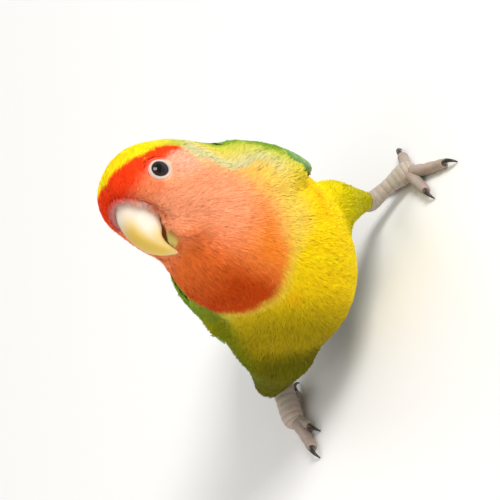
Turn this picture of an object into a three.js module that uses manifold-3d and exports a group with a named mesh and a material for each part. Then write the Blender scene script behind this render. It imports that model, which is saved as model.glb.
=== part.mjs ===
// A life-size peach-faced lovebird, standing with bent legs and its head turned to its right.
// Millimetres, +Z up, the bird's left is +X and it faces -Y; its toes stand on the floor at z = 0.
import * as THREE from "three";
import { mergeVertices } from "three/addons/utils/BufferGeometryUtils.js";
import Module from "manifold-3d";

const wasm = await Module();
wasm.setup();

// Driving dimensions
const GAP = 0.3; // between two nodes that touch
const ORIGIN_SHIFT = [-2.03, -31.7, 0]; // brings the box's bottom centre to the origin
const SIDES = { left: 1, right: -1 };

// Flesh forms: centre, half sizes along their own axes, and the pitch of the long axis (degrees)
const TRUNK = { centre: [1.5, 10, 28], half: [19.2, 30, 19], pitch: 14 };
const BREAST = { centre: [2.8, -6, 38], half: [20, 16, 19], pitch: 0 };
const BELLY = { centre: [-4.5, 4, 22.6], half: [18.2, 18, 16.2], pitch: 0 };
const RUMP = { from: [0, 28, 25], to: [0, 52, 18.5], radii: [13, 6] };
const NECK = { from: [2.5, -9, 49], to: [3.8, -7.8, 60.5], radii: [17.4, 14.3] };
const BODY_BLEND = 9;
const HEAD_BLEND = 5;
const RECESS_BLEND = 2.4;
const SUBDIVISIONS = { torso: 9, neck: 5, head: 8, thigh: 3, eye: 1, lid: 3, palm: 1, rump: 3, nostril: 0 };

// Head, in its own directions of bill, crown and left cheek, from the point midway between the eyes
const EYE_MID = [1.2, -10.9, 71.5];
const TO_BILL = [-0.739, -0.428, 0.52];
const TO_CROWN = [0.294, 0.491, 0.82];
const SKULL = { centre: [-2.2, -1.8, 0], half: [13.2, 12.2, 11.3] };
const BROW = { centre: [1, 1.4, 2.2], half: [8.2, 8.2, 9] };
const CHEEK = { centre: [-2.6, -6, 3.6], half: [8.6, 9, 8.8] };
const BILL_RECESS = { centre: [9.6, -7.3, 0], half: [6.6, 9.7, 7.8] };
const GAPE_PAD = { centre: [3, -12, 5.5], half: [3.8, 4.2, 2.4] }; // cheek beside the lower bill
const PAD_BLEND = 2;
const EYE_PLACE = [0.9, -0.4, 9]; // an eyeball's centre
const EYE_RADIUS = 3.6;
const LID_THICKNESS = 0.6;
const EYE_OPENING = [2.1, 1.95]; // half width and half height between the lids
const NOSTRIL = { place: [7.1, 1.4, 2.5], radius: 0.7 };

// Bill profiles in the mid plane, from base to tip, and half widths at the cutting edge
const CULMEN = [
  [4.6, 3.7], [7.9, 2.3], [10.2, -0.2], [11.5, -3.5], [11.8, -7.2], [10.8, -10.9], [8.9, -13.8], [6.2, -15.8],
];
const UPPER_EDGE = [
  [1.5, -0.5], [3.2, -2.8], [4.4, -5], [5.7, -7.4], [6.9, -9.6], [7.9, -11], [7.5, -13], [6, -15.6],
];
const UPPER_HALF_WIDTH = [4.9, 5.4, 5.5, 4.9, 4.1, 3.3, 2, 0.5];
const LOWER_EDGE = [[0.5, -2.4], [3, -5.4], [4.6, -8.2], [6.2, -10.9], [6.9, -12.6]];
const GONYS = [[-1.5, -8], [1.2, -11.2], [3.4, -13.6], [5.3, -14.4], [6.8, -13.5]];
const LOWER_HALF_WIDTH = [4, 4.1, 3.9, 3.2, 1.8];

// Legs: ankle, palm and toe tips on each side; toes 2 and 3 point forward, 1 and 4 back
const LEGS = {
  left: {
    thigh: { from: [18.5, 1, 22.5], to: [24.4, 16.5, 7.6], radii: [7.3, 2.5] },
    shank: 1.9,
    ankle: [24.6, 17.4, 6.4],
    palm: [35, 14, 2.7],
    toes: { 3: [42, -5], 2: [31.5, -2.5], 4: [40.5, 28.5], 1: [28, 25] },
  },
  right: {
    thigh: { from: [-18.8, 4, 17], to: [-27.6, 16, 10.2], radii: [9.6, 4.6] },
    shank: 2.7,
    ankle: [-25.3, 20.1, 7],
    palm: [-33, 9.8, 2.7],
    toes: { 3: [-38, -9], 2: [-32.4, -2.4], 4: [-31, 27.8], 1: [-24.8, 21.8] },
  },
};
const ANKLE_SWELL = 0.5; // how much thicker the ankle is than the shank
const PALM_RADIUS = 3;
const TOE_RADII = [1.65, 1.15];
const TOE_SIDES = 7;
const TOE_STEPS = 6;
const KNUCKLE_HEIGHT = 1.45;
const TOE_END_HEIGHT = 1.05;
const CLAW_LENGTH = 4.6;
const CLAW_SIDES = 6;

// Wings: the folded wing lies on the trunk's side, laid out by length (y) and angle round the axis
const WING_AXIS = [[-22, 41], [0, 33], [25, 26], [46, 20], [80, 11]];
const TAIL_GUIDE = { from: [0, 44, 19.5], to: [0, 82, 9.5], radii: [9, 6.5] };
const WING_FRONT = { 1: -17, [-1]: -2 };
const WING_CORE_BACK = 24;
const CORE_ROWS = 8;
const CORE_COLUMNS = 4;
// The core's thickness by length, more where the photo shows the left wing held off the body
const CORE_THICKNESS = { 1: [[-16, 1], [-4, 1.7]], [-1]: [[0, 0.7], [14, 0.8]] };
const CORE_SWELL = 0.4;
const VANE_SEAT = 0.8; // core thickness that the vanes' lifts are given for
const VANE_THICKNESS = [0.55, 0.4];
const PRIMARIES = { count: 5, tips: [72, 56], angles: [42, 68], width: 5, tilt: 0.32, lift: [1.2, 1.5] };
const SECONDARIES = { count: 4, tips: [48, 38], angles: [26, 74], width: 6.8, tilt: 0.24, lift: [1.5, 3.1] };
const COVERT_TIERS = [
  { count: 5, place: 0.85, length: 19, lift: [1.1, 3.2], from: 4, to: 62 },
  { count: 4, place: 0.45, length: 14, lift: [1.1, 2.9], from: 8, to: 48 },
  { count: 3, place: 0.1, length: 12, lift: [1.1, 2.8], from: 12, to: 34 },
];
const COVERT_BACK = 5; // where the last tier's place would be 1
const COVERT_WIDTH = 7.4;
const COVERT_TILT = 0.2;

// Tail: twelve graded feathers from the rump, a middle pair one above the other
const TAIL = { root: [0, 43, 19], tip: [0, 90, 5.2], pairs: 4, spread: 2.1, width: 6.8, grade: 3 };
const TAIL_COVERTS = { count: 3, length: 20, width: 8, step: 3.2 };

// Cuts between nodes: a point and the direction that leads out of the lower node
const NECK_CUT = { at: [3.5, -10, 58], out: [0.2, 0.1, 0.97] };
const TORSO_CUT = { at: [2.5, -10, 47], out: [0.1, -0.12, 0.99] };
const TAIL_CUT = { at: [0, 46, 20], out: [0, 0.97, -0.22] };
const CUT_MARGIN = 3;

// Vectors as plain arrays
const add = (a, b) => a.map((v, i) => v + b[i]);
const sub = (a, b) => a.map((v, i) => v - b[i]);
const scale = (a, s) => a.map((v) => v * s);
const dot = (a, b) => a[0] * b[0] + a[1] * b[1] + a[2] * b[2];
const length = (a) => Math.hypot(...a);
const unit = (a) => scale(a, 1 / length(a));
const lerp = (a, b, t) => a + (b - a) * t;
const mix = (a, b, t) => a.map((v, i) => lerp(v, b[i], t));
const clamp = (v, lo, hi) => Math.min(hi, Math.max(lo, v));
const radians = (d) => (d * Math.PI) / 180;
const cross = (a, b) => [
  a[1] * b[2] - a[2] * b[1],
  a[2] * b[0] - a[0] * b[2],
  a[0] * b[1] - a[1] * b[0],
];
const UP = [0, 0, 1];

// A seeded draw between -1 and 1
let seed = 20;
function vary() {
  seed = (seed * 1103515245 + 12345) % 2147483648;
  return (seed / 2147483648) * 2 - 1;
}

// A value read between the rows of a short table of [place, value]
function along(table, place) {
  const last = table.length - 1;
  const i = clamp(table.findIndex((row) => row[0] > place) - 1, 0, last - 1);
  const from = place >= table[last][0] ? last - 1 : i;
  const [a, b] = [table[from], table[from + 1]];
  return lerp(a[1], b[1], clamp((place - a[0]) / (b[0] - a[0]), 0, 1));
}

const TO_CHEEK = cross(TO_CROWN, TO_BILL);

function headPoint(bill, crown, cheek) {
  const upward = add(scale(TO_CROWN, crown), scale(TO_CHEEK, cheek));
  return add(EYE_MID, add(scale(TO_BILL, bill), upward));
}

// Fields that are negative inside a form
function blend(a, b, k) {
  const h = Math.max(k - Math.abs(a - b), 0) / k;
  return Math.min(a, b) - (h * h * k) / 4;
}

function ellipsoid(q, half) {
  const k0 = Math.hypot(q[0] / half[0], q[1] / half[1], q[2] / half[2]);
  const k1 = Math.hypot(q[0] / half[0] ** 2, q[1] / half[1] ** 2, q[2] / half[2] ** 2);
  return k1 === 0 ? -Math.min(...half) : (k0 * (k0 - 1)) / k1;
}

function pitched(p, form) {
  const q = sub(p, form.centre);
  const c = Math.cos(radians(form.pitch));
  const s = Math.sin(radians(form.pitch));
  return ellipsoid([q[0], q[1] * c - q[2] * s, q[1] * s + q[2] * c], form.half);
}

function cone(p, form) {
  const axis = sub(form.to, form.from);
  const t = clamp(dot(sub(p, form.from), axis) / dot(axis, axis), 0, 1);
  return length(sub(p, mix(form.from, form.to, t))) - lerp(form.radii[0], form.radii[1], t);
}

function trunkField(p) {
  const trunk = blend(pitched(p, TRUNK), pitched(p, BREAST), BODY_BLEND);
  const full = blend(trunk, pitched(p, BELLY), BODY_BLEND);
  return blend(blend(full, cone(p, RUMP), BODY_BLEND), cone(p, NECK), BODY_BLEND);
}

function headField(p) {
  const away = sub(p, EYE_MID);
  const q = [dot(away, TO_BILL), dot(away, TO_CROWN), dot(away, TO_CHEEK)];
  const side = [q[0], q[1], Math.abs(q[2])];
  const skull = ellipsoid(sub(q, SKULL.centre), SKULL.half);
  const brow = ellipsoid(sub(side, BROW.centre), BROW.half);
  const cheek = ellipsoid(sub(side, CHEEK.centre), CHEEK.half);
  const full = blend(blend(skull, brow, HEAD_BLEND), cheek, HEAD_BLEND);
  const open = -blend(-full, ellipsoid(sub(q, BILL_RECESS.centre), BILL_RECESS.half), RECESS_BLEND);
  return blend(open, ellipsoid(sub(side, GAPE_PAD.centre), GAPE_PAD.half), PAD_BLEND);
}

const bodyField = (p) => blend(trunkField(p), headField(p), HEAD_BLEND);
const wingGuide = (p) => blend(trunkField(p), cone(p, TAIL_GUIDE), BODY_BLEND);

// How far a ray runs inside a field
function rayLength(field, centre, way, reach = 60) {
  let near = 0;
  let far = 1;
  while (far < reach && field(add(centre, scale(way, far))) < 0) {
    near = far;
    far += 1;
  }
  for (let k = 0; k < 18; k += 1) {
    const middle = (near + far) / 2;
    if (field(add(centre, scale(way, middle))) > 0) far = middle;
    else near = middle;
  }
  return (near + far) / 2;
}

// Closed meshes and their joins
function merged(geometry) {
  geometry.deleteAttribute("normal");
  geometry.deleteAttribute("uv");
  return mergeVertices(geometry, 1e-4);
}

function solid(geometry) {
  const closed = merged(geometry);
  return new wasm.Manifold(
    new wasm.Mesh({
      numProp: 3,
      vertProperties: closed.attributes.position.array,
      triVerts: new Uint32Array(closed.index.array),
    }),
  );
}

function facing(points, faces) {
  const make = (list) =>
    new wasm.Manifold(
      new wasm.Mesh({
        numProp: 3,
        vertProperties: new Float32Array(points.flat()),
        triVerts: new Uint32Array(list.flat()),
      }),
    );
  const made = make(faces);
  return made.volume() > 0 ? made : make(faces.map(([a, b, c]) => [a, c, b]));
}

function largest(shape) {
  return shape.decompose().reduce((a, b) => (b.volume() > a.volume() ? b : a));
}

const joined = (shapes) => shapes.reduce((a, b) => a.add(b));
const cutBy = (shape, tools) => tools.reduce((a, b) => a.subtract(b), shape);

function node(name, shape, material) {
  const { vertProperties, triVerts } = largest(shape).getMesh();
  const geometry = new THREE.BufferGeometry();
  geometry.setAttribute("position", new THREE.BufferAttribute(vertProperties, 3));
  geometry.setIndex(new THREE.BufferAttribute(triVerts, 1));
  geometry.computeVertexNormals();
  const mesh = new THREE.Mesh(geometry, material);
  mesh.name = name;
  bird.add(mesh);
}

// The half space beyond a cut, as a large block whose near face lies on the plane
function beyond(cut, offset) {
  const size = 200;
  const block = new THREE.BoxGeometry(size, size, size);
  const turn = new THREE.Quaternion();
  turn.setFromUnitVectors(new THREE.Vector3(...UP), new THREE.Vector3(...cut.out).normalize());
  block.translate(0, 0, size / 2 + offset);
  block.applyQuaternion(turn);
  block.translate(...cut.at);
  return solid(block);
}

const opposite = (cut) => ({ at: cut.at, out: scale(cut.out, -1) });

// The surface where a field equals level, seen from a centre in even directions
function surfaceFrom(centre, field, detail, level = 0) {
  const shell = merged(new THREE.IcosahedronGeometry(1, detail));
  const place = shell.attributes.position;
  const shifted = (p) => field(p) - level;
  for (let i = 0; i < place.count; i += 1) {
    const way = unit([place.getX(i), place.getY(i), place.getZ(i)]);
    place.setXYZ(i, ...add(centre, scale(way, rayLength(shifted, centre, way))));
  }
  return solid(shell);
}

function ball(centre, radius, detail) {
  const shape = new THREE.IcosahedronGeometry(radius, detail);
  shape.translate(...centre);
  return solid(shape);
}

// A field that stops a little past some cuts
function stopAt(field, cuts) {
  const planes = cuts.map((cut) => ({ at: cut.at, out: unit(cut.out) }));
  return (p) => Math.max(field(p), ...planes.map((c) => dot(sub(p, c.at), c.out) - CUT_MARGIN));
}

// A closed skin through rings of equally many points; a ring of one point is a tip.
// From the side number folded on, a ring runs back under its first half: quads there are split
// the other way, so that both faces match, and the ends are closed between the two halves.
function loft(rings, folded = Infinity) {
  const points = rings.flat();
  const faces = [];
  const sides = Math.max(...rings.map((ring) => ring.length));
  const starts = [0];
  rings.forEach((ring, i) => starts.push(starts[i] + ring.length));
  const endCap = (ring, start) => {
    if (ring.length === 1) return [];
    if (folded < Infinity) {
      const quads = Array.from({ length: folded - 1 }, (_, j) => [j, j + 1, sides - 2 - j, sides - 1 - j]);
      return quads.flatMap((q) => {
        const [a, b, c, d] = q.map((v) => v + start);
        return [[a, c, b], [a, d, c]];
      });
    }
    points.push(scale(ring.reduce(add), 1 / sides));
    const centre = points.length - 1;
    return ring.map((_, j) => [centre, start + ((j + 1) % sides), start + j]);
  };
  faces.push(...endCap(rings[0], starts[0]));
  for (let i = 0; i + 1 < rings.length; i += 1) {
    const [a, b] = [starts[i], starts[i + 1]];
    for (let j = 0; j < sides; j += 1) {
      const k = (j + 1) % sides;
      if (rings[i].length === 1) faces.push([a, b + k, b + j]);
      else if (rings[i + 1].length === 1) faces.push([a + j, a + k, b]);
      else if (j >= folded) faces.push([a + j, a + k, b + j], [a + k, b + k, b + j]);
      else faces.push([a + j, a + k, b + k], [a + j, b + k, b + j]);
    }
  }
  const last = rings.length - 1;
  faces.push(...endCap(rings[last], starts[last]).map((face) => face.reverse()));
  return facing(points, faces);
}

// A round limb along points, with a radius for each share of its length
function limb(points, radiusAt, sides, steps) {
  const curve = new THREE.CatmullRomCurve3(points.map((p) => new THREE.Vector3(...p)));
  const rings = [];
  for (let i = 0; i <= steps; i += 1) {
    const t = i / steps;
    const centre = curve.getPointAt(t).toArray();
    const way = curve.getTangentAt(t).toArray();
    const across = unit(cross(way, UP));
    const over = cross(across, way);
    const ring = [];
    for (let j = 0; j < sides; j += 1) {
      const a = ((j + 0.5) / sides) * 2 * Math.PI;
      const out = add(scale(across, Math.cos(a)), scale(over, Math.sin(a)));
      ring.push(add(centre, scale(out, radiusAt(t))));
    }
    rings.push(ring);
  }
  return loft(rings);
}

// A vane: rows of left and right edge points with their outward direction, made thick
function vane(rows) {
  const rings = rows.map(({ left, right, out, thick }) => {
    const half = scale(out, thick / 2);
    return [add(left, half), add(right, half), sub(right, half), sub(left, half)];
  });
  return loft(rings, 2);
}

// Share of a vane's full width at a share of its length: narrow at the root, a round tip
const VANE_OUTLINE = [[0, 0.55], [0.3, 0.95], [0.5, 1], [0.75, 1], [0.92, 0.72], [1, 0.3]];
const FLIGHT_SHARES = [0, 0.5, 0.88, 1];
const COVERT_SHARES = [0, 0.7, 1];

// Colours of the plain solids
const paint = (color, roughness) => new THREE.MeshStandardMaterial({ color, roughness, metalness: 0 });
const YELLOW = paint(0xd6c41a, 0.9);
const PEACH = paint(0xf08048, 0.9);
const GREEN = paint(0x4f8a2a, 0.85);
const HORN = paint(0xe8dcb4, 0.45);
const SCALY = paint(0x8f837c, 0.7);
const CLAW = paint(0x3a2e28, 0.5);
const EYE = paint(0x0d0b0c, 0.1);

const bird = new THREE.Group();
bird.position.set(...ORIGIN_SHIFT);

// Flesh nodes: one blended surface parted by thin cuts
function fleshPart(centre, cuts, detail, level = 0) {
  const shape = surfaceFrom(centre, stopAt(bodyField, cuts), detail, level);
  return cutBy(shape, cuts.map((cut) => beyond(cut, level - GAP / 2)));
}

const TORSO_CENTRE = [0, 6, 28];
const NECK_CENTRE = [3, -10, 52.5];
const NUB_CENTRE = [0, 48, 19];
const torso = fleshPart(TORSO_CENTRE, [TORSO_CUT, TAIL_CUT], SUBDIVISIONS.torso);
const neck = fleshPart(NECK_CENTRE, [NECK_CUT, opposite(TORSO_CUT)], SUBDIVISIONS.neck);
node("torso", torso, YELLOW);
node("neck", neck, PEACH);
const nub = fleshPart(NUB_CENTRE, [opposite(TAIL_CUT)], SUBDIVISIONS.rump);
const nubRoom = fleshPart(NUB_CENTRE, [opposite(TAIL_CUT)], SUBDIVISIONS.rump, GAP);
const torsoRoom = fleshPart(TORSO_CENTRE, [TORSO_CUT, TAIL_CUT], SUBDIVISIONS.torso, GAP);
const neckRoom = fleshPart(NECK_CENTRE, [NECK_CUT, opposite(TORSO_CUT)], SUBDIVISIONS.neck, GAP);

// Eyes, the lids over them and the nostrils
function ellipticPlug(centre, out, along1, halves, depth) {
  const across = cross(out, along1);
  const rings = [0, depth].map((d) => {
    const ring = [];
    for (let j = 0; j < 14; j += 1) {
      const a = (j / 14) * 2 * Math.PI;
      const wide = scale(along1, halves[0] * Math.cos(a));
      ring.push(add(add(centre, scale(out, d)), add(wide, scale(across, halves[1] * Math.sin(a)))));
    }
    return ring;
  });
  return loft(rings);
}

const HEAD_CENTRE = headPoint(...SKULL.centre);
let head = fleshPart(HEAD_CENTRE, [opposite(NECK_CUT)], SUBDIVISIONS.head);
const headRoom = fleshPart(HEAD_CENTRE, [opposite(NECK_CUT)], SUBDIVISIONS.head, GAP);
Object.entries(SIDES).forEach(([name, side]) => {
  const centre = headPoint(EYE_PLACE[0], EYE_PLACE[1], side * EYE_PLACE[2]);
  const out = scale(TO_CHEEK, side);
  head = head.add(ball(centre, EYE_RADIUS + GAP + LID_THICKNESS, SUBDIVISIONS.lid));
  head = head.subtract(ball(centre, EYE_RADIUS + GAP, SUBDIVISIONS.lid));
  head = head.subtract(ellipticPlug(centre, out, TO_BILL, EYE_OPENING, EYE_RADIUS * 2));
  node("eye_" + name, ball(centre, EYE_RADIUS, SUBDIVISIONS.eye), EYE);
  const nostril = [NOSTRIL.place[0], NOSTRIL.place[1], side * NOSTRIL.place[2]];
  head = head.subtract(ball(headPoint(...nostril), NOSTRIL.radius, SUBDIVISIONS.nostril));
});
node("head", head, PEACH);

// Bill: an arched shell of horn over a small scoop
function billPart(ridge, edge, halfWidths, hollow) {
  const ARCH = 9;
  const rings = ridge.map((top, i) => {
    const ring = [];
    for (let j = 0; j < ARCH; j += 1) {
      const a = lerp(-90, 90, j / (ARCH - 1));
      const rise = Math.cos(radians(a)) ** 0.8;
      const place = mix(edge[i], top, rise);
      ring.push(headPoint(...place, halfWidths[i] * Math.sin(radians(a))));
    }
    const under = mix(edge[i], top, hollow);
    ring.push(headPoint(...under, halfWidths[i] * 0.45), headPoint(...under, -halfWidths[i] * 0.45));
    return ring;
  });
  return loft(rings);
}

const billUpper = billPart(CULMEN, UPPER_EDGE, UPPER_HALF_WIDTH, 0.12);
const billLower = billPart(GONYS, LOWER_EDGE, LOWER_HALF_WIDTH, 0.1);
node("bill_upper", billUpper.subtract(headRoom), HORN);
node("bill_lower", billLower.subtract(headRoom), HORN);

// Legs: thigh, tarsus with its palm, toes and claws
const floor = beyond({ at: [0, 0, 0], out: [0, 0, -1] }, 0);
const thighRoom = {};

function clawPath(end, way) {
  return [
    end,
    add(end, [way[0] * CLAW_LENGTH * 0.45, way[1] * CLAW_LENGTH * 0.45, 0.75]),
    add(end, [way[0] * CLAW_LENGTH * 0.85, way[1] * CLAW_LENGTH * 0.85, -0.1]),
    add(end, [way[0] * CLAW_LENGTH, way[1] * CLAW_LENGTH, -1]),
  ];
}

Object.entries(LEGS).forEach(([name, leg]) => {
  const thighField = (p) => cone(p, leg.thigh);
  const middle = mix(leg.thigh.from, leg.thigh.to, 0.35);
  const thigh = surfaceFrom(middle, thighField, SUBDIVISIONS.thigh);
  thighRoom[name] = surfaceFrom(middle, thighField, SUBDIVISIONS.thigh, GAP);
  node("thigh_" + name, cutBy(thigh, [torsoRoom, floor]), YELLOW);
  const shankRadius = (extra) => (t) => {
    if (t < 0.15) return leg.shank + ANKLE_SWELL * (1 - t / 0.15) + extra;
    return lerp(leg.shank, PALM_RADIUS, clamp((t - 0.55) / 0.4, 0, 1) ** 1.5) + extra;
  };
  const shankPath = [leg.ankle, mix(leg.ankle, leg.palm, 0.5), leg.palm];
  const shank = limb(shankPath, shankRadius(0), TOE_SIDES, TOE_STEPS);
  const shankRoom = limb(shankPath, shankRadius(GAP), TOE_SIDES, TOE_STEPS);
  const palm = ball(leg.palm, PALM_RADIUS, SUBDIVISIONS.palm);
  const palmRoom = ball(leg.palm, PALM_RADIUS + GAP, SUBDIVISIONS.palm);
  const tarsus = cutBy(joined([shank, palm]), [thighRoom[name], torsoRoom, floor]);
  node("tarsus_" + name, tarsus, SCALY);
  const taken = [shankRoom, palmRoom];
  [3, 2, 4, 1].forEach((number) => {
    const tip = [...leg.toes[number], TOE_END_HEIGHT];
    const way = unit([tip[0] - leg.palm[0], tip[1] - leg.palm[1], 0]);
    const end = sub(tip, scale(way, CLAW_LENGTH));
    const [x, y] = mix(leg.palm, end, 0.45);
    const knuckle = [x, y, KNUCKLE_HEIGHT];
    const path = [add(leg.palm, [way[0], way[1], -0.8]), knuckle, mix(knuckle, end, 0.6), end];
    const radius = (extra) => (t) => {
      const pad = 0.12 * Math.abs(Math.sin(t * 3 * Math.PI));
      return lerp(TOE_RADII[0], TOE_RADII[1], t) + pad + extra;
    };
    const toe = limb(path, radius(0), TOE_SIDES, TOE_STEPS);
    node(`toe_${number}_${name}`, cutBy(toe, [...taken, floor]), SCALY);
    taken.push(limb(path, radius(GAP), TOE_SIDES, TOE_STEPS));
    const clawStart = add(end, scale(way, 2 * GAP));
    const claw = limb(clawPath(clawStart, way), (t) => lerp(0.95, 0.22, t), CLAW_SIDES, 5);
    node(`claw_${number}_${name}`, claw.subtract(floor), CLAW);
  });
});

// Wings: a thin core on the trunk's side, with flight feathers and three tiers of coverts
function wingPoint(side, y, angle, height) {
  const centre = [0, y, along(WING_AXIS, y)];
  const way = [side * Math.cos(radians(angle)), 0, Math.sin(radians(angle))];
  return add(centre, scale(way, rayLength(wingGuide, centre, way) + height));
}

const WING_LOWER = [[-18, 6], [-10, 0], [5, -4], [30, 4], [50, 18], [74, 34]];
const WING_UPPER = [[-18, 38], [-10, 44], [0, 56], [12, 70], [22, 76], [74, 78]];
const WING_ROUNDING = 8; // length over which the bend of the wing widens from a narrow front
const NARROWEST = 0.03; // where along that length the wing starts

// The wing's lower and upper angle at a length
function wingSpan(side, y) {
  const inward = 1 - clamp((y - WING_FRONT[side]) / WING_ROUNDING, NARROWEST, 1);
  const full = Math.sqrt(1 - inward * inward);
  const edges = [along(WING_LOWER, y), along(WING_UPPER, y)];
  const middle = (edges[0] + edges[1]) / 2;
  return edges.map((edge) => lerp(middle, edge, full));
}

function wingCore(side) {
  const rings = [];
  for (let i = 0; i <= CORE_ROWS; i += 1) {
    const y = lerp(WING_FRONT[side], WING_CORE_BACK, i / CORE_ROWS);
    const thickness = along(CORE_THICKNESS[side], y);
    const crown = Math.sin(Math.PI * clamp(0.12 + (i / CORE_ROWS) * 0.8, 0, 1));
    const top = [];
    const bottom = [];
    for (let j = 0; j <= CORE_COLUMNS; j += 1) {
      const share = j / CORE_COLUMNS;
      const angle = lerp(...wingSpan(side, y), share);
      const swell = CORE_SWELL * crown * Math.sin(Math.PI * clamp(share, 0.08, 0.92)) ** 0.6;
      top.push(wingPoint(side, y, angle, 2 * GAP + thickness + swell));
      bottom.unshift(wingPoint(side, y, angle, 2 * GAP));
    }
    rings.push([...top, ...bottom]);
  }
  return loft(rings, CORE_COLUMNS + 1);
}

// A vane laid on the wing: its centre line runs from root to tip in length and angle
function wingVane(side, root, tip, width, lift, tilt, shares) {
  const rows = shares.map((t) => {
    const y = lerp(root[0], tip[0], t);
    const angle = lerp(root[1], tip[1], t);
    const height = lerp(lift[0], lift[1], t) + along(CORE_THICKNESS[side], y) - VANE_SEAT;
    const middle = wingPoint(side, y, angle, height);
    const ahead = wingPoint(side, y + 1, angle + (tip[1] - root[1]) / (tip[0] - root[0]), height);
    const out = unit([middle[0], 0, middle[2] - along(WING_AXIS, y)]);
    const across = unit(cross(out, sub(ahead, middle)));
    const half = (width * along(VANE_OUTLINE, t)) / 2;
    const edge = (sign) => {
      const p = add(middle, scale(across, sign * half));
      const q = [p[0], 0, p[2] - along(WING_AXIS, p[1])];
      const place = (Math.atan2(q[2], side * q[0]) * 180) / Math.PI;
      const upward = place > angle ? 1 : -1;
      return wingPoint(side, p[1], place, height - tilt * half * upward);
    };
    return { left: edge(-1), right: edge(1), out, thick: lerp(...VANE_THICKNESS, t) };
  });
  return vane(rows);
}

// Flight feathers of one series, from the longest and lowest to the one next to the back
function flightVanes(side, series, roots) {
  return Array.from({ length: series.count }, (_, i) => {
    const share = i / (series.count - 1);
    const root = mix(roots[0], roots[1], share);
    const tip = [lerp(...series.tips, share) + 0.5 * vary(), lerp(...series.angles, share)];
    return wingVane(side, root, tip, series.width, series.lift, series.tilt, FLIGHT_SHARES);
  });
}

function covertVanes(side, tier) {
  return Array.from({ length: tier.count }, (_, i) => {
    const share = i / (tier.count - 1);
    const angle = lerp(tier.from, tier.to, share);
    const y = lerp(WING_FRONT[side], COVERT_BACK, tier.place) + 3 * (1 - share) + 0.5 * vary();
    const tip = [y + tier.length * (1 - 0.15 * share), angle + 6 - 4 * share];
    return wingVane(side, [y, angle], tip, COVERT_WIDTH, tier.lift, COVERT_TILT, COVERT_SHARES);
  });
}

function wing(side) {
  return joined([
    wingCore(side),
    ...flightVanes(side, PRIMARIES, [[18, 6], [14, 40]]),
    ...flightVanes(side, SECONDARIES, [[14, 12], [6, 60]]),
    ...COVERT_TIERS.flatMap((tier) => covertVanes(side, tier)),
  ]);
}

Object.entries(SIDES).forEach(([name, side]) => {
  const tools = [torsoRoom, nubRoom, neckRoom, headRoom, thighRoom[name]];
  node("wing_" + name, cutBy(wing(side), tools), GREEN);
});

// Tail: the rump's end with graded feathers and their coverts
function tailVane(place, level, reach, width, tilt, shares, rise = 0) {
  const rows = shares.map((t) => {
    const centre = mix(TAIL.root, TAIL.tip, t * reach);
    const spread = place * lerp(0.5, 1, t);
    const height = level + rise * (1 - t) - 0.1 * Math.abs(spread);
    const half = (width * along(VANE_OUTLINE, t)) / 2;
    const at = (s) => add(centre, [spread + s * half, 0, height - tilt * s * half]);
    return { left: at(-1), right: at(1), out: UP, thick: lerp(...VANE_THICKNESS, t) };
  });
  return vane(rows);
}

function tail() {
  const long = TAIL.tip[1] - TAIL.root[1];
  const pieces = [nub, tailVane(0, 1.1, 1, TAIL.width, 0, FLIGHT_SHARES)];
  for (let i = 1; i <= TAIL.pairs; i += 1) {
    [-1, 1].forEach((side) => {
      const reach = 1 - (TAIL.grade * i * (1 + 0.12 * i)) / long;
      pieces.push(tailVane(side * i * TAIL.spread, 0.3, reach, TAIL.width, side * 0.4, FLIGHT_SHARES));
    });
  }
  for (let i = 0; i < TAIL_COVERTS.count; i += 1) {
    const place = (i - (TAIL_COVERTS.count - 1) / 2) * TAIL_COVERTS.step;
    const reach = TAIL_COVERTS.length / long + 0.1;
    [-1, 1].forEach((over) => {
      const level = over * (3.2 - 0.3 * Math.abs(place));
      pieces.push(tailVane(place, level, reach, TAIL_COVERTS.width, 0, COVERT_SHARES, over * 1.5));
    });
  }
  return cutBy(joined(pieces), [beyond(opposite(TAIL_CUT), -GAP / 2)]);
}

node("tail", tail(), GREEN);

export default bird;
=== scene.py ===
import bpy
import numpy as np
from mathutils import Matrix


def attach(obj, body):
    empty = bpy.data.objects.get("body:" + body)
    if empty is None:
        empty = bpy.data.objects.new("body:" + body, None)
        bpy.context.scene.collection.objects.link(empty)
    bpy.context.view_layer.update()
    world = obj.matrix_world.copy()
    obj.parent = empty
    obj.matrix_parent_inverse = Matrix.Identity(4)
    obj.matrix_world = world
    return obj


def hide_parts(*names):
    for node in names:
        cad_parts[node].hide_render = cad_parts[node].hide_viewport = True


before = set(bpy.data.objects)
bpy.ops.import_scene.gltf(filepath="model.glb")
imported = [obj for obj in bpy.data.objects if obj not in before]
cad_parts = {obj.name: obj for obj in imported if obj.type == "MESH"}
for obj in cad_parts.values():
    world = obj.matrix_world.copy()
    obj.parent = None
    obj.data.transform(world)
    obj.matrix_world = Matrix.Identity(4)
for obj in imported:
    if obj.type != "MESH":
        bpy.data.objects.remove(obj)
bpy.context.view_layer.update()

DRAW = np.random.default_rng(11)
MM = 0.001
ORIGIN_SHIFT = np.array([-2.03, -31.7, 0])
SIDES = {"left": 1, "right": -1}

# Camera: the photograph is turned on its side, so up in the picture is mostly the bird's left
CAMERA_TILT = np.radians(22)
CAMERA_DISTANCE = 650
PIXELS_PER_MM = 4.1
FRAME_PIXELS = 500
SENSOR_MM = 36
BODY_MIDDLE = np.array([0, 0, 25.5])
BODY_MIDDLE_PIXELS = (40, 20)
PICTURE_TURN = (0.44, 0.898)

# Stage in metres: half the floor's side, and each light's place, size and power
FLOOR_HALF = 20
LIGHTS = {
    "key": ((0.62, -0.4, 0.62), 0.35, 6.6),
    "fill": ((-0.5, -0.5, 0.4), 0.6, 1.2),
    "back": ((0.1, 0.7, 0.6), 0.4, 1.5),
}
LIGHTS_AIM = (0, -0.03, 0.045)
WORLD_COLOUR = (1, 0.99, 0.97, 1)
WORLD_STRENGTH = 0.58

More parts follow.
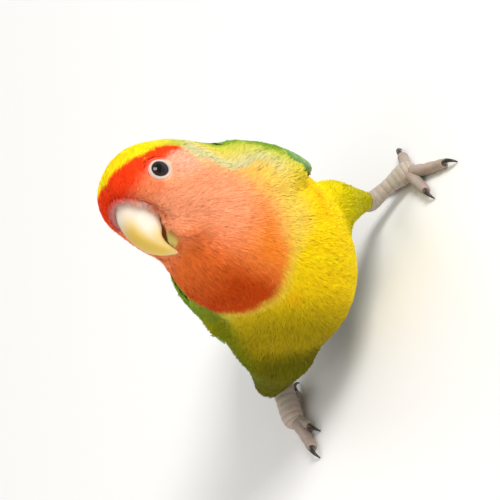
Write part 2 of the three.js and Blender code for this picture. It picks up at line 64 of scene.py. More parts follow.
# Flesh forms, the same as the solids' ones
TRUNK = {"centre": (1.5, 10, 28), "half": (19.2, 30, 19), "pitch": 14}
BREAST = {"centre": (2.8, -6, 38), "half": (20, 16, 19), "pitch": 0}
BELLY = {"centre": (-4.5, 4, 22.6), "half": (18.2, 18, 16.2), "pitch": 0}
RUMP = {"from": (0, 28, 25), "to": (0, 52, 18.5), "radii": (13, 6)}
NECK = {"from": (2.5, -9, 49), "to": (3.8, -7.8, 60.5), "radii": (17.4, 14.3)}
THIGHS = {
    "left": {"from": (18.5, 1, 22.5), "to": (24.4, 16.5, 7.6), "radii": (7.3, 2.5)},
    "right": {"from": (-18.8, 4, 17), "to": (-27.6, 16, 10.2), "radii": (9.6, 4.6)},
}
BODY_BLEND = 9
HEAD_BLEND = 5
THIGH_BLEND = 4
RECESS_BLEND = 2.4
PAD_BLEND = 2

# Head, in its own directions of bill, crown and left cheek, from the point midway between the eyes
EYE_MID = np.array([1.2, -10.9, 71.5])
TO_BILL = np.array([-0.739, -0.428, 0.52])
TO_CROWN = np.array([0.294, 0.491, 0.82])
TO_CHEEK = np.cross(TO_CROWN, TO_BILL)
HEAD_AXES = np.array([TO_BILL, TO_CROWN, TO_CHEEK])
SKULL = {"centre": (-2.2, -1.8, 0), "half": (13.2, 12.2, 11.3)}
BROW = {"centre": (1, 1.4, 2.2), "half": (8.2, 8.2, 9)}
CHEEK = {"centre": (-2.6, -6, 3.6), "half": (8.6, 9, 8.8)}
BILL_RECESS = {"centre": (9.6, -7.3, 0), "half": (6.6, 9.7, 7.8)}
GAPE_PAD = {"centre": (3, -12, 5.5), "half": (3.8, 4.2, 2.4)}
EYE_PLACE = (0.9, -0.4, 9)
EYE_RADIUS = 3.6
EYE_OPENING = (2.1, 1.95)
EYE_WINDOW_OUT = 12.6
SOCKET_GAP = 0.62
IRIS_ANGLES = (0.34, 0.42)
SIDE_ANGLES = (0.55, 0.7)
LID_FLANGE = 1.5
LID_CREST = 0.35
LID_BEAD = 0.06
LID_THICKNESS = 0.5
# The face's skin lies between these distances from the head's mid plane
FACE_LEVELS = (6.0, 16.0)

# Bill: pairs of places towards the bill and the crown, from root to tip
CULMEN = [
    (4.6, 3.7), (7.9, 2.3), (10.2, -0.2), (11.5, -3.5),
    (11.8, -7.2), (10.8, -10.9), (8.9, -13.8), (6.2, -15.8),
]
UPPER_EDGE = [
    (1.5, -0.5), (3.2, -2.8), (4.4, -5), (5.7, -7.4),
    (6.9, -9.6), (7.9, -11), (7.5, -13), (6, -15.6),
]
UPPER_HALF_WIDTH = [4.9, 5.4, 5.5, 4.9, 4.1, 3.3, 2, 0.5]
LOWER_EDGE = [(0.5, -2.4), (3, -5.4), (4.6, -8.2), (6.2, -10.9), (6.9, -12.6)]
GONYS = [(-1.5, -8), (1.2, -11.2), (3.4, -13.6), (5.3, -14.4), (6.8, -13.5)]
LOWER_HALF_WIDTH = [4, 4.1, 3.9, 3.2, 1.8]
UPPER_SHEATH = {
    "ridge": CULMEN, "edge": UPPER_EDGE, "half_widths": UPPER_HALF_WIDTH,
    "rows": 60, "columns": 25, "floor_rise": 0.2, "thickness": 0.5,
}
LOWER_SHEATH = {
    "ridge": GONYS, "edge": LOWER_EDGE, "half_widths": LOWER_HALF_WIDTH,
    "rows": 36, "columns": 21, "floor_rise": 0.35, "thickness": 0.4,
}
NOSTRIL = (7.2, 1.6, 2.5)
NOSTRIL_RADIUS = 0.6

# Legs: ankle, palm and toe tips; toes 2 and 3 point forward, 1 and 4 back
LEGS = {
    "left": {
        "shank": 1.9,
        "ankle": (24.6, 17.4, 6.4),
        "palm": (35, 14, 2.7),
        "toes": {3: (42, -5), 2: (31.5, -2.5), 4: (40.5, 28.5), 1: (28, 25)},
    },
    "right": {
        "shank": 2.7,
        "ankle": (-25.3, 20.1, 7),
        "palm": (-33, 9.8, 2.7),
        "toes": {3: (-38, -9), 2: (-32.4, -2.4), 4: (-31, 27.8), 1: (-24.8, 21.8)},
    },
}
ANKLE_SWELL = 0.5
PALM_RADIUS = 3
TOE_RADII = (1.65, 1.15)
TOE_BONES = {1: 2, 2: 3, 3: 4, 4: 4}
KNUCKLE_HEIGHT = 1.5
TOE_ARCH_HEIGHT = 1.9
TOE_END_HEIGHT = 1.15
TOE_PAD = 0.2
CLAW_LENGTH = 4.6
CLAW_RADII = (0.95, 0.16)
CLAW_FLOOR = 0.2
SHANK_BANDS = 15
BANDS_PER_BONE = 5

# Wings, laid out by length (y) and angle in degrees round this axis
WING_AXIS = [(-22, 41), (0, 33), (25, 26), (46, 20), (80, 11)]
WING_LOWER = [(-18, 6), (-10, 0), (5, -4), (30, 4), (50, 18), (74, 34)]
WING_UPPER = [(-18, 38), (-10, 44), (0, 56), (12, 70), (22, 76), (74, 78)]
WING_FRONT = {"left": -17, "right": -2}
WING_ROUNDING = 8
WING_THICKNESS = {1: 0.8, -1: 0.3}
WING_CORE_BACK = 30
WING_REACH = 45.0
VANE_THICKNESS = 0.14
SHAFT_HEIGHT = 0.12
SHAFT_WIDTH = 0.12
MM_PER_DEGREE = 0.38
SCAPULAR_EDGE = [(-17, 12), (-9, 26), (-2, 40), (5, 58), (10, 76)]
SCAPULAR_LIFT = 2.6
SHOULDER_RAMP = 5
SHOULDER_COVER = 3
FLANK_FLUFF = {"centre": (-24.2, 1, 29), "lift": 2.6, "radius": 7}
PRIMARIES = {
    "count": 9, "half_hidden": 7, "roots": ((18, 8), (14, 44)), "tips": ((72, 42), (54, 68)),
    "bend": 0.8, "spread": 0.3, "width": 5, "lift": (0.5, 1.1), "sharp": 2.2, "rows": 16,
}
SECONDARIES = {
    "count": 10, "half_hidden": 8, "roots": ((14, 10), (6, 62)), "tips": ((49, 26), (37, 74)),
    "bend": 1, "spread": 0.25, "width": 6.4, "lift": (0.8, 2.1), "sharp": 1.8, "rows": 14,
}
# Tiers of coverts: how many, place along the wing, length, lift at root and tip, and width
COVERT_TIERS = [
    (11, 4.5, 18, (1.2, 2.7), 5.6),
    (11, 0.5, 13, (1.2, 2.7), 5.2),
    (10, -3.5, 9.5, (1.1, 2.5), 4.8),
    (10, -7, 8, (1.0, 2.3), 4.4),
    (9, -10, 7, (0.9, 2.1), 4.2),
    (8, -12.6, 6.5, (0.8, 1.9), 4),
    (7, -14.8, 6, (0.7, 1.7), 3.8),
    (5, -16.4, 5.4, (0.5, 1.5), 3.4),
]
# The tiers' places run from the first to the second of these, and are squeezed behind the wing's front
COVERT_SPAN = (-17, 5)

# Tail, and the path of its upper coverts down from the rump
TAIL_GUIDE = {"from": (0, 44, 19.5), "to": (0, 82, 9.5), "radii": (9, 6.5)}
TAIL = {"root": (0, 43, 19), "tip": (0, 90, 5.2)}
# Behind this place the tail's own feathers take the coat's place
TAIL_CUT_Y = 56
TAIL_PAIRS = 5
RUMP_PATH = [(49.5, 25.2), (54, 23.2), (58.5, 19.6), (63, 16.3), (68, 13.9), (73, 12)]
UNDER_COVERT_RISES = (-2.2, -3.2, -4.2)

# Skin and coat
SKIN_STEP = 0.6
SKIN_BOX = ((-34.0, -29.0, 3.0), (29.0, 60.0, 86.0))
SKIN_SHADE = 0.8
COAT_DEPTH = {"face": 0.5, "body": 1.3}
FACE_TO_BODY = (10, 34)
COAT_DENSITY = {"face": 9.0, "body": 4.0}
FRINGE_DENSITY = 14.0
COAT_LENGTH = [(5, 0.9), (9, 1.5), (16, 2.3), (30, 3.4), (50, 4.6)]
LENGTH_BY_EYE = [(2.2, 0.6), (6, 2.6)]
BLADE_WIDTH = [(0.8, 0.11), (2, 0.17), (4.6, 0.34)]
# Sections of the coat, and the share of the way down the spine where each ends
COAT_SECTIONS = {"face": 0.19, "head": 0.34, "neck": 0.46, "breast": 0.6, "trunk": 0.75, "rump": 1}
BLADES = 6
# A tuft: swirl and fan in degrees, roll in radians, root depth in mm, and the rest as shares
# Each blade is darker at its root as painted shade down in the coat, and lighter at its tip as painted light
TUFT = {
    "swirl": 8, "length": (0.8, 1.2), "rise": (0.16, 0.27), "middle_rise": 0.75, "root_depth": 0.15,
    "fan": 17, "fan_spread": 4, "outer_shorter": 0.22, "roll": 0.35, "root_painted_shade": 0.72, "tip_painted_light": 1.12,
}
FRINGE_BLADES = 3
FRINGE_HALF_WIDTH = 7.4
EYE_CLEARANCE = 2.25
HORN_CLEARANCE = 0.45
# The OFBake map: a tuft's size in it, and the places of the body and the thighs
PATCH = 0.003
BODY_PATCH = (0.02, 0.02, 0.96, 0.8)
THIGH_PATCHES = {"left": (0.02, 0.84, 0.44, 0.98), "right": (0.5, 0.84, 0.92, 0.98)}


# Small maths
def unit(v):
    return v / np.maximum(np.linalg.norm(v, axis=-1, keepdims=True), 1e-9)


def length_of(v):
    return np.linalg.norm(v, axis=-1)


def lerp(a, b, t):
    return a + (b - a) * t


def smooth(x, start, end):
    """0 before start, 1 after end, and a soft step between."""
    t = np.clip((x - start) / (end - start), 0, 1)
    return t * t * (3 - 2 * t)


def along(table, place):
    keys, values = zip(*table)
    return np.interp(place, keys, values)


def dots(a, b):
    return (a * b).sum(-1)


def curve(points, count):
    """A smooth line through points, read at evenly spaced shares of its point numbers."""
    points = np.array(points, float)
    if points.ndim == 1:
        points = points[:, None]
    padded = np.vstack([2 * points[0] - points[1], points, 2 * points[-1] - points[-2]])
    place = np.linspace(0, len(points) - 1, count)
    i = np.minimum(place.astype(int), len(points) - 2)
    t = (place - i)[:, None]
    a, b, c, d = (padded[i + k] for k in range(4))
    return 0.5 * (2 * b + (c - a) * t + (2 * a - 5 * b + 4 * c - d) * t**2 + (3 * b - a - 3 * c + d) * t**3)


def ripple(p, scale, seed):
    """A smooth pseudo-random value between -1 and 1."""
    turn = np.random.default_rng(seed)
    total = 0
    for k in range(4):
        way = unit(turn.normal(size=3))
        total = total + np.sin(p @ way / scale * (1 + 0.6 * k) + turn.uniform(0, 6.3)) / (1 + 0.5 * k)
    return total / 2.2


def rgb(red, green, blue):
    """A colour given in screen values from 0 to 255, as the renderer's linear ones."""
    c = np.array([red, green, blue], float) / 255
    return np.where(c <= 0.04045, c / 12.92, ((c + 0.055) / 1.055) ** 2.4)


# Fields that are negative inside a form
def blend(a, b, k):
    h = np.maximum(k - np.abs(a - b), 0) / k
    return np.minimum(a, b) - h * h * k / 4


def ellipsoid(q, form):
    q, half = q - np.array(form["centre"], float), np.array(form["half"], float)
    k0 = length_of(q / half)
    k1 = length_of(q / half**2)
    return k0 * (k0 - 1) / np.maximum(k1, 1e-9)


def pitched(p, form):
    q = p - np.array(form["centre"], float)
    c, s = np.cos(np.radians(form["pitch"])), np.sin(np.radians(form["pitch"]))
    turned = np.stack([q[:, 0], q[:, 1] * c - q[:, 2] * s, q[:, 1] * s + q[:, 2] * c], -1)
    return ellipsoid(turned, {"centre": (0, 0, 0), "half": form["half"]})


def on_line(p, start, end):
    """Share of the way along a straight line that is nearest to each place, and its distance."""
    away, axis = p - start, np.subtract(end, start)
    t = np.clip(away @ axis / (axis @ axis), 0, 1)
    return t, length_of(away - t[:, None] * axis)


def cone(p, form):
    t, away = on_line(p, form["from"], form["to"])
    return away - lerp(*form["radii"], t)


def trunk_field(p):
    trunk = blend(pitched(p, TRUNK), pitched(p, BREAST), BODY_BLEND)
    trunk = blend(trunk, pitched(p, BELLY), BODY_BLEND)
    return blend(blend(trunk, cone(p, RUMP), BODY_BLEND), cone(p, NECK), BODY_BLEND)


def wing_guide(p):
    return blend(trunk_field(p), cone(p, TAIL_GUIDE), BODY_BLEND)


def in_head(p):
    return (p - EYE_MID) @ HEAD_AXES.T


def head_point(bill, crown, cheek):
    return EYE_MID + bill * TO_BILL + crown * TO_CROWN + cheek * TO_CHEEK


def head_field(p):
    q = in_head(p)
    one_side = np.stack([q[:, 0], q[:, 1], np.abs(q[:, 2])], -1)
    head = blend(ellipsoid(q, SKULL), ellipsoid(one_side, BROW), HEAD_BLEND)
    head = blend(head, ellipsoid(one_side, CHEEK), HEAD_BLEND)
    head = -blend(-head, ellipsoid(q, BILL_RECESS), RECESS_BLEND)
    return blend(head, ellipsoid(one_side, GAPE_PAD), PAD_BLEND)


def trunk_and_head(p):
    return blend(trunk_field(p), head_field(p), HEAD_BLEND)


def body_field(p):
    body = trunk_and_head(p)
    for thigh in THIGHS.values():
        body = blend(body, cone(p, thigh), THIGH_BLEND)
    return body


EYES = {name: head_point(*EYE_PLACE[:2], side * EYE_PLACE[2]) for name, side in SIDES.items()}
EYE_WINDOWS = [head_point(*EYE_PLACE[:2], side * EYE_WINDOW_OUT) for side in SIDES.values()]
BILL_ROOT = head_point(6, -3, 0)
TAIL_AIM = np.array([0, 100, -6])


def from_bill(p):
    return length_of(p - BILL_ROOT)


def skin_field(p):
    """The bare skin: the body less its coat's depth, open where the eyes show."""
    depth = lerp(COAT_DEPTH["face"], COAT_DEPTH["body"], smooth(from_bill(p), *FACE_TO_BODY))
    skin = body_field(p) + depth
    for eye in EYES.values():
        skin = np.maximum(skin, EYE_RADIUS + SOCKET_GAP - length_of(p - eye))
    return skin


def outward(field, p):
    step = 0.05
    return unit(np.stack([field(p + step * axis) - field(p - step * axis) for axis in np.eye(3)], -1))


def settle(field, p, level):
    """Points moved onto a level of a field."""
    return p - outward(field, p) * (field(p) - level)[:, None]


def narrow_down(field, start, way, near, far, rounds):
    """Distances along a way, just inside and just outside a field's surface."""
    near, far = np.full(len(start), near), np.full(len(start), far)
    for _ in range(rounds):
        middle = (near + far) / 2
        outside = field(start + way * middle[:, None]) > 0
        near, far = np.where(outside, near, middle), np.where(outside, middle, far)
    return near, far


def surface_net(field, low, high, step):
    """Points and quads of the surface where a field is zero."""
    counts = np.ceil((np.array(high) - low) / step).astype(int) + 1
    axes = [low[k] + step * np.arange(counts[k]) for k in range(3)]
    values = np.empty(counts)
    for i, x in enumerate(axes[0]):
        sheet = np.stack(np.meshgrid([x], axes[1], axes[2], indexing="ij"), -1).reshape(-1, 3)
        values[i] = field(sheet).reshape(counts[1:])
    inside = values < 0
    count = sum(
        inside[a : counts[0] - 1 + a, b : counts[1] - 1 + b, c : counts[2] - 1 + c].astype(int)
        for a in (0, 1)
        for b in (0, 1)
        for c in (0, 1)
    )
    crossing = (count > 0) & (count < 8)
    index = np.full(crossing.shape, -1)
    index[crossing] = np.arange(crossing.sum())
    total, hits, quads = np.zeros((crossing.sum(), 3)), np.zeros(crossing.sum()), []
    for axis in range(3):
        one = np.eye(3, dtype=int)[axis]
        first = np.take(inside, range(counts[axis] - 1), axis)
        second = np.take(inside, range(1, counts[axis]), axis)
        edges = np.argwhere(first != second)
        near, far = values[tuple(edges.T)], values[tuple((edges + one).T)]
        point = edges + one * (near / (near - far))[:, None]
        others = [k for k in range(3) if k != axis]
        ring = []
        for a, b in ((0, 0), (1, 0), (1, 1), (0, 1)):
            cell = edges.copy()
            cell[:, others[0]] -= a
            cell[:, others[1]] -= b
            ids = index[tuple(cell.T)]
            np.add.at(total, ids, point)
            np.add.at(hits, ids, 1)
            ring.append(ids)
        quad = np.stack(ring, 1)
        outwards = first[tuple(edges.T)] ^ (axis == 1)
        quads.append(np.where(outwards[:, None], quad, quad[:, ::-1]))
    return low + step * total / hits[:, None], np.vstack(quads)


# An unwrap of the skin's own shape: a tube from the bill over the head and trunk to the tail
SPINE = np.array([
    head_point(9.5, -4, 0), head_point(-2, -2.5, 0), (3.4, -8.5, 54),
    (1, 0, 38), (0, 18, 27), (0, 38, 22), (0, 62, 15),
])
DORSAL = np.array([
    (0.55, 0.7, 0.45), (0.3, 0.6, 0.74), (0.1, 0.9, 0.3), (0, 0.8, 0.6),
    (0, 0.4, 0.92), (0, 0.25, 0.97), (0, 0.3, 0.95),
])
SPINE_LENGTHS = np.concatenate([[0], np.cumsum(length_of(np.diff(SPINE, axis=0)))])
SPINE_SOFTNESS = 1.5


def spine_place(p):
    """Share of the way along the spine, and turn round it from the belly (0) over the back (0.5)."""
    nearness, number = [], []
    for k in range(len(SPINE) - 1):
        t, away = on_line(p, SPINE[k], SPINE[k + 1])
        nearness.append(np.exp(-away / SPINE_SOFTNESS))
        number.append(k + t)
    nearness = np.array(nearness)
    s = (nearness * number).sum(0) / nearness.sum(0)

    def read(table):
        return np.stack([np.interp(s, range(len(SPINE)), column) for column in table.T], -1)

    way = unit(np.stack([np.gradient(column) for column in SPINE.T], -1))
    tangent, dorsal = unit(read(way)), read(DORSAL)
    dorsal = unit(dorsal - tangent * dots(dorsal, tangent)[:, None])
    away = p - read(SPINE)
    turn = np.arctan2(dots(away, np.cross(dorsal, tangent)), dots(away, dorsal)) / (2 * np.pi) + 0.5
    return np.interp(s, range(len(SPINE)), SPINE_LENGTHS) / SPINE_LENGTHS[-1], turn


def thigh_place(p, name):
    away, whole = p - THIGHS[name]["from"], np.subtract(THIGHS[name]["to"], THIGHS[name]["from"])
    axis = unit(whole)
    share = np.clip(away @ axis / length_of(whole) * 0.6 + 0.3, 0, 1)
    across = unit(np.cross(axis, (0, 1, 0)))
    return share, np.arctan2(away @ np.cross(axis, across), away @ across) / (2 * np.pi) + 0.5


def owners(p):
    """The part that each point belongs to: a thigh, left or right, or the body."""
    body = trunk_and_head(p)
    owner = np.full(len(p), "body", dtype=object)
    for name, thigh in THIGHS.items():
        owner[cone(p, thigh) < body] = name
    return owner


def bake_places(p, owner):
    """Places in the OFBake map for points, each on the tube of the part that owns it."""
    share, turn = spine_place(p)
    patch = np.tile(BODY_PATCH, (len(p), 1))
    for name in THIGHS:
        mine = owner == name
        share[mine], turn[mine] = thigh_place(p[mine], name)
        patch[mine] = THIGH_PATCHES[name]
    return np.stack([lerp(patch[:, 0], patch[:, 2], turn), lerp(patch[:, 1], patch[:, 3], share)], -1), patch


# Markings, shared by the skin and its coat
COLOURS = {
    "crown": rgb(255, 226, 12),
    "neck_back": rgb(200, 204, 74),
    "nape": rgb(214, 208, 152),
    "red": rgb(252, 66, 16),
    "lore": rgb(252, 134, 82),
    "pink": rgb(255, 180, 148),
    "salmon": rgb(255, 164, 118),
    "throat": rgb(246, 124, 50),
    # Orange, brightened as painted light low on the bib's left side
    "bib_side_with_painted_light": rgb(255, 142, 44),
    # Deeper orange low on the bib, darkened by painted shade on the bird's right side
    "bib_low_with_painted_shade": rgb(200, 70, 2),
    "bib_back": rgb(255, 172, 96),
    "rim": rgb(240, 210, 96),
    "breast": rgb(255, 216, 4),
    "flank": rgb(240, 222, 4),
    # Olive, deepened by painted shade low on the body and on its right side
    "belly": rgb(166, 144, 2),
    # Olive under the tail, darkened by painted shade under the body
    "vent_olive_and_painted_shade": rgb(104, 104, 2),
    # Painted shade over the right flank, a dark olive
    "right_flank_painted_shade": rgb(112, 124, 4),
    "thigh_left": rgb(192, 182, 4),
    # The right thigh's colour is the left one's, darkened as painted shade
    "thigh_right": rgb(104, 100, 2),
    "mantle": rgb(92, 142, 18),
    "rump": rgb(30, 136, 196),
    "fleck": rgb(244, 150, 14),
}
BIB = {"centre": np.array([-4, -22, 58]), "radius": 21.4}
PALE_EAR = {"centre": (-6, -1.5, 10), "half": (6, 4.5, 7)}
PALE_LORE = {"centre": (5.5, -0.5), "half": (4, 4.5)}
# The line down the right flank along which painted shade darkens the coat
FLANK_SHADE = {"from": (-17, -11, 47), "to": (-24, 6, 22), "radii": (2, 4)}
FLECKS = [(18.9, -15.5, 34.1), (16.4, -17.1, 31.4), (11.7, -22.8, 37.1), (-5.2, -21.3, 29.8), (19.5, -12, 38)]
FLECK_SIZE = (1.5, 1.5, 2.2)
# Edges on the head: heights by place towards the bill, and for the nape places by height
CROWN_EDGE = [
    (-8, 1.2), (-5.5, 3), (-3, 4.1), (1.3, 4.1), (3.6, 5.2),
    (5.9, 6.1), (7.9, 6.4), (9.2, 5.8), (10.3, 4),
]
RED_EDGE = [(-8, 1.2), (-5.7, 0.6), (-3, 0.4), (1, 0.6), (4, 0.2), (7, 0), (10, -0.8)]
RED_SOFTNESS = [(-6, 0.6), (2, 1.6), (8, 2.4)]
NAPE_EDGE = [
    (-19.5, -20), (-15.4, -20.3), (-13.2, -18.9), (-11.2, -14.5),
    (-8.7, -11.8), (-5.7, -9.2), (-1.2, -6.9), (1.4, -7.8),
]


def mix(base, colour, share):
    return base + (COLOURS[colour] - base) * np.clip(share, 0, 1)[:, None]


def body_marks(p, wobble, away):
    """Yellow breast and flanks, olive belly and thighs darkened by painted shade low down and on the right
    side, green mantle, blue rump and the bib's pale rim.
    """
    x, y, z = p.T
    colour = mix(COLOURS["breast"], "flank", smooth(y, -16, 2) * 0.9)
    # Olive belly, deepened by painted shade low down and towards the right side
    colour = mix(colour, "belly", smooth(0.5 * z + 0.5 * y + x, 6, -8) * smooth(y, -30, -18))
    # Painted shade under the body towards the tail, over its olive
    colour = mix(colour, "vent_olive_and_painted_shade", smooth(y + 0.8 * (22 - z), 0, 22) * smooth(z, 30, 18))
    colour = mix(colour, "mantle", smooth(y - 0.5 * (z - 40) + 2 * wobble, 8, 20) * smooth(z, 22, 30))
    colour = mix(colour, "mantle", smooth(y, -6, 4) * smooth(z, 38, 46) * 0.9)
    colour = mix(colour, "rump", smooth(y + wobble, 27, 34) * smooth(z - (25 - 0.3 * (y - 28)), -2, 3))
    # Each thigh takes its own colour; the right one's darker olive is painted shade
    for name, thigh in THIGHS.items():
        colour = mix(colour, "thigh_" + name, smooth(cone(p, thigh), 5, -1) * smooth(z, 32, 18))
    for fleck in FLECKS:
        spread = length_of((p - fleck) / FLECK_SIZE)
        colour = mix(colour, "fleck", np.exp(-spread**2) * 0.8)
    left, edge = smooth(x, 3, 13), BIB["radius"]
    rim = smooth(away, edge + lerp(3, 9, left), edge + 0.5) * smooth(y, -4, -12)
    return mix(colour, "rim", rim * lerp(0.4, 0.8, left))


def neck_marks(colour, p, wobble, crown, behind):
    """Yellow-green back of the neck and shoulders, pale nape, and painted shade on the right flank."""
    x, y, z = p.T
    colour = mix(colour, "neck_back", smooth(y + 0.3 * (60 - z), -15, -5) * smooth(z, 44, 54))
    nape = smooth(behind, 9, 1.5) * smooth(behind, -2, 0.5)
    colour = mix(colour, "nape", nape * smooth(crown, -22, -14) * smooth(y, 2, -10))
    shoulder = smooth(np.abs(x - 1) + 0.35 * (y + 17), 15, 20) * smooth(z, 36, 44) * smooth(y, 12, 2)
    colour = mix(colour, "neck_back", shoulder)
    green = smooth(np.abs(x) + 0.5 * (y + 16) + wobble, 18.5, 23)
    colour = mix(colour, "mantle", shoulder * green * 0.9)
    # Painted shade down the right flank
    return mix(colour, "right_flank_painted_shade", smooth(cone(p, FLANK_SHADE), 4, -1) * 0.85)


def face_marks(p, q, wobble, away):
    """Salmon face with a pale ear, a red forehead, and a bib in deeper orange and painted shade down its
    right side, brighter with painted light low on its left.
    """
    x, _, z = p.T
    bill, crown = q[:, 0], q[:, 1]
    edge = BIB["radius"]
    face = mix(COLOURS["salmon"], "throat", smooth(crown, -10, -17) * smooth(x, 4, -6))
    # Painted light brightens the low bib on its left side
    face = mix(face, "bib_side_with_painted_light", smooth(z, 57, 45) * smooth(x, -9, 2))
    # Painted shade deepens the bib low down and towards the right side
    face = mix(face, "bib_low_with_painted_shade", smooth(z, 59, 46) * smooth(x + 1.5 * wobble, 3, -8))
    mottle = smooth(ripple(p, 1.3, 21) * 0.9 + smooth(x, -4, 12), 0.7, 1.2) * smooth(away, edge - 9, edge - 3)
    face = mix(face, "bib_back", mottle * smooth(z, 62, 52) * 0.6)
    back = smooth(x + 0.4 * (60 - z), 8, 18) * smooth(away, edge - 10, edge - 2)
    face = mix(face, "bib_back", back * smooth(z, 64, 56))
    one_side = np.stack([bill, crown, np.abs(q[:, 2])], -1)
    ear = length_of((one_side - PALE_EAR["centre"]) / PALE_EAR["half"])
    face = mix(face, "pink", smooth(ear, 1.5, 0.5) * 0.95)
    lore = length_of((q[:, :2] - PALE_LORE["centre"]) / PALE_LORE["half"])
    face = mix(face, "lore", smooth(lore, 1.3, 0.5) * 0.8)
    above = (crown + 0.5 * wobble - along(RED_EDGE, bill)) / along(RED_SOFTNESS, bill)
    return mix(face, "red", smooth(above, -1, 1) * smooth(bill, -9, -7.5))


def markings(p):
    q = in_head(p)
    bill, crown = q[:, 0], q[:, 1]
    x = p[:, 0]
    wobble = ripple(p, 2.2, 3)
    away = length_of(p - BIB["centre"]) + 0.7 * wobble
    behind = along(NAPE_EDGE, crown) - bill + 0.4 * wobble
    colour = neck_marks(body_marks(p, wobble, away), p, wobble, crown, behind)
    edge = BIB["radius"]
    fade = lerp(edge - 1.5, edge - 6, smooth(x, -3, 8))
    in_bib = smooth((edge + 1.5 - away) / (edge + 1.5 - fade), 0, 1)
    on_face = np.maximum(in_bib, smooth(bill, -8, -6) * smooth(crown, -16, -10)) * smooth(behind, 0.6, -0.6)
    colour = colour + (face_marks(p, q, wobble, away) - colour) * on_face[:, None]
    on_crown = smooth(crown - along(CROWN_EDGE, bill) + 0.35 * wobble, -0.35, 0.35) * smooth(bill, -14, -8)
    top = mix(COLOURS["crown"], "neck_back", smooth(bill + 0.4 * crown, 1, -9))
    return np.clip(colour + (top - colour) * on_crown[:, None], 0, 1)


# Materials take their colour from a piece's markings; grain and bump are a noise's scale and strength
FINISHES = {
    "plumage": {"roughness": 0.66, "grain": (700, 0.1), "sheen": 0.02, "specular": 0.08},
    "feathered_skin": {"roughness": 0.8, "grain": (900, 0.15), "bump": (2500, 0.4), "specular": 0.2},
    "vanes": {"roughness": 0.5, "grain": (1500, 0.12), "bump": (4000, 0.25), "sheen": 0.1, "specular": 0.4},
    "bill_horn": {
        "roughness": 0.42, "grain": (260, 0.05), "bump": (900, 0.08),
        "coat": 0.12, "specular": 0.4, "scatter": 0.25,
    },
    "scaly_skin": {"roughness": 0.55, "grain": (900, 0.18), "bump": (1800, 0.5), "specular": 0.4},
    "claw_horn": {"roughness": 0.35, "grain": (600, 0.15), "bump": (1500, 0.1), "coat": 0.2},
    "eye": {"roughness": 0.03, "grain": (800, 0.1), "specular": 0.22},
    "lid_skin": {"roughness": 0.6, "grain": (1800, 0.08), "bump": (3500, 0.4), "scatter": 0.15},
}
BUMP_DISTANCE = 0.0002
SHEEN_ROUGHNESS = 0.4
SCATTER = {"Subsurface Radius": (0.0012, 0.0007, 0.0004), "Subsurface Scale": 1}


def node_tree(name):
    material = bpy.data.materials.new(name)
    material.use_nodes = True
    tree = material.node_tree
    return material, tree, tree.nodes["Principled BSDF"]


def set_inputs(node, values):
    for name, value in values.items():
        node.inputs[name].default_value = value


def noise_node(tree, where, scale, detail):
    noise = tree.nodes.new("ShaderNodeTexNoise")
    set_inputs(noise, {"Scale": scale, "Detail": detail})
    tree.links.new(where.outputs["Object"], noise.inputs["Vector"])
    return noise.outputs["Fac"]


def tinted(name, roughness, grain, bump=None, sheen=0, coat=0, specular=0.5, scatter=0):
    material, tree, shader = node_tree(name)
    new, link = tree.nodes.new, tree.links.new
    tint = new("ShaderNodeVertexColor")
    tint.layer_name = "tint"
    where = new("ShaderNodeTexCoord")
    shade = new("ShaderNodeMapRange")
    set_inputs(shade, {"To Min": 1 - grain[1], "To Max": 1 + grain[1]})
    link(noise_node(tree, where, grain[0], 4), shade.inputs["Value"])
    scaled = new("ShaderNodeVectorMath")
    scaled.operation = "SCALE"
    link(tint.outputs["Color"], scaled.inputs[0])
    link(shade.outputs["Result"], scaled.inputs["Scale"])
    link(scaled.outputs["Vector"], shader.inputs["Base Color"])
    if bump:
        relief = new("ShaderNodeBump")
        set_inputs(relief, {"Strength": bump[1], "Distance": BUMP_DISTANCE})
        link(noise_node(tree, where, bump[0], 3), relief.inputs["Height"])
        link(relief.outputs["Normal"], shader.inputs["Normal"])
    set_inputs(shader, {"Roughness": roughness, "Sheen Weight": sheen, "Sheen Roughness": SHEEN_ROUGHNESS})
    set_inputs(shader, {"Coat Weight": coat, "Specular IOR Level": specular})
    if scatter:
        set_inputs(shader, {"Subsurface Weight": scatter, **SCATTER})
    return material


MATERIALS = {name: tinted(name, **finish) for name, finish in FINISHES.items()}


# Mesh making
def place(points):
    return (points + ORIGIN_SHIFT) * MM


def mesh_object(name, points, faces, finish, tint, node_names=(), bake=None):
    """A piece from points in the working frame and arrays of faces, each array with its own side count."""
    mesh = bpy.data.meshes.new(name)
    loops = np.concatenate([group.ravel() for group in faces])
    sizes = np.concatenate([np.full(len(group), group.shape[1]) for group in faces])
    mesh.vertices.add(len(points))
    mesh.vertices.foreach_set("co", place(points).astype(np.float32).ravel())
    mesh.loops.add(len(loops))
    mesh.loops.foreach_set("vertex_index", loops.astype(np.int32))
    mesh.polygons.add(len(sizes))
    starts = np.concatenate([[0], np.cumsum(sizes)[:-1]])
    mesh.polygons.foreach_set("loop_start", starts.astype(np.int32))
    mesh.update(calc_edges=True)
    mesh.shade_smooth()
    colours = np.hstack([np.broadcast_to(tint, (len(points), 3)), np.ones((len(points), 1))])
    layer = mesh.color_attributes.new("tint", "FLOAT_COLOR", "POINT")
    layer.data.foreach_set("color", colours.astype(np.float32).ravel())
    if bake is not None:
        layer = mesh.uv_layers.new(name="OFBake")
        bake = bake[loops] if len(bake) == len(points) else bake
        layer.data.foreach_set("uv", bake.astype(np.float32).ravel())
    piece = bpy.data.objects.new(name, mesh)
    bpy.context.scene.collection.objects.link(piece)
    mesh.materials.append(MATERIALS[finish])
    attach(piece, "root")
    if node_names:
        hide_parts(*node_names)


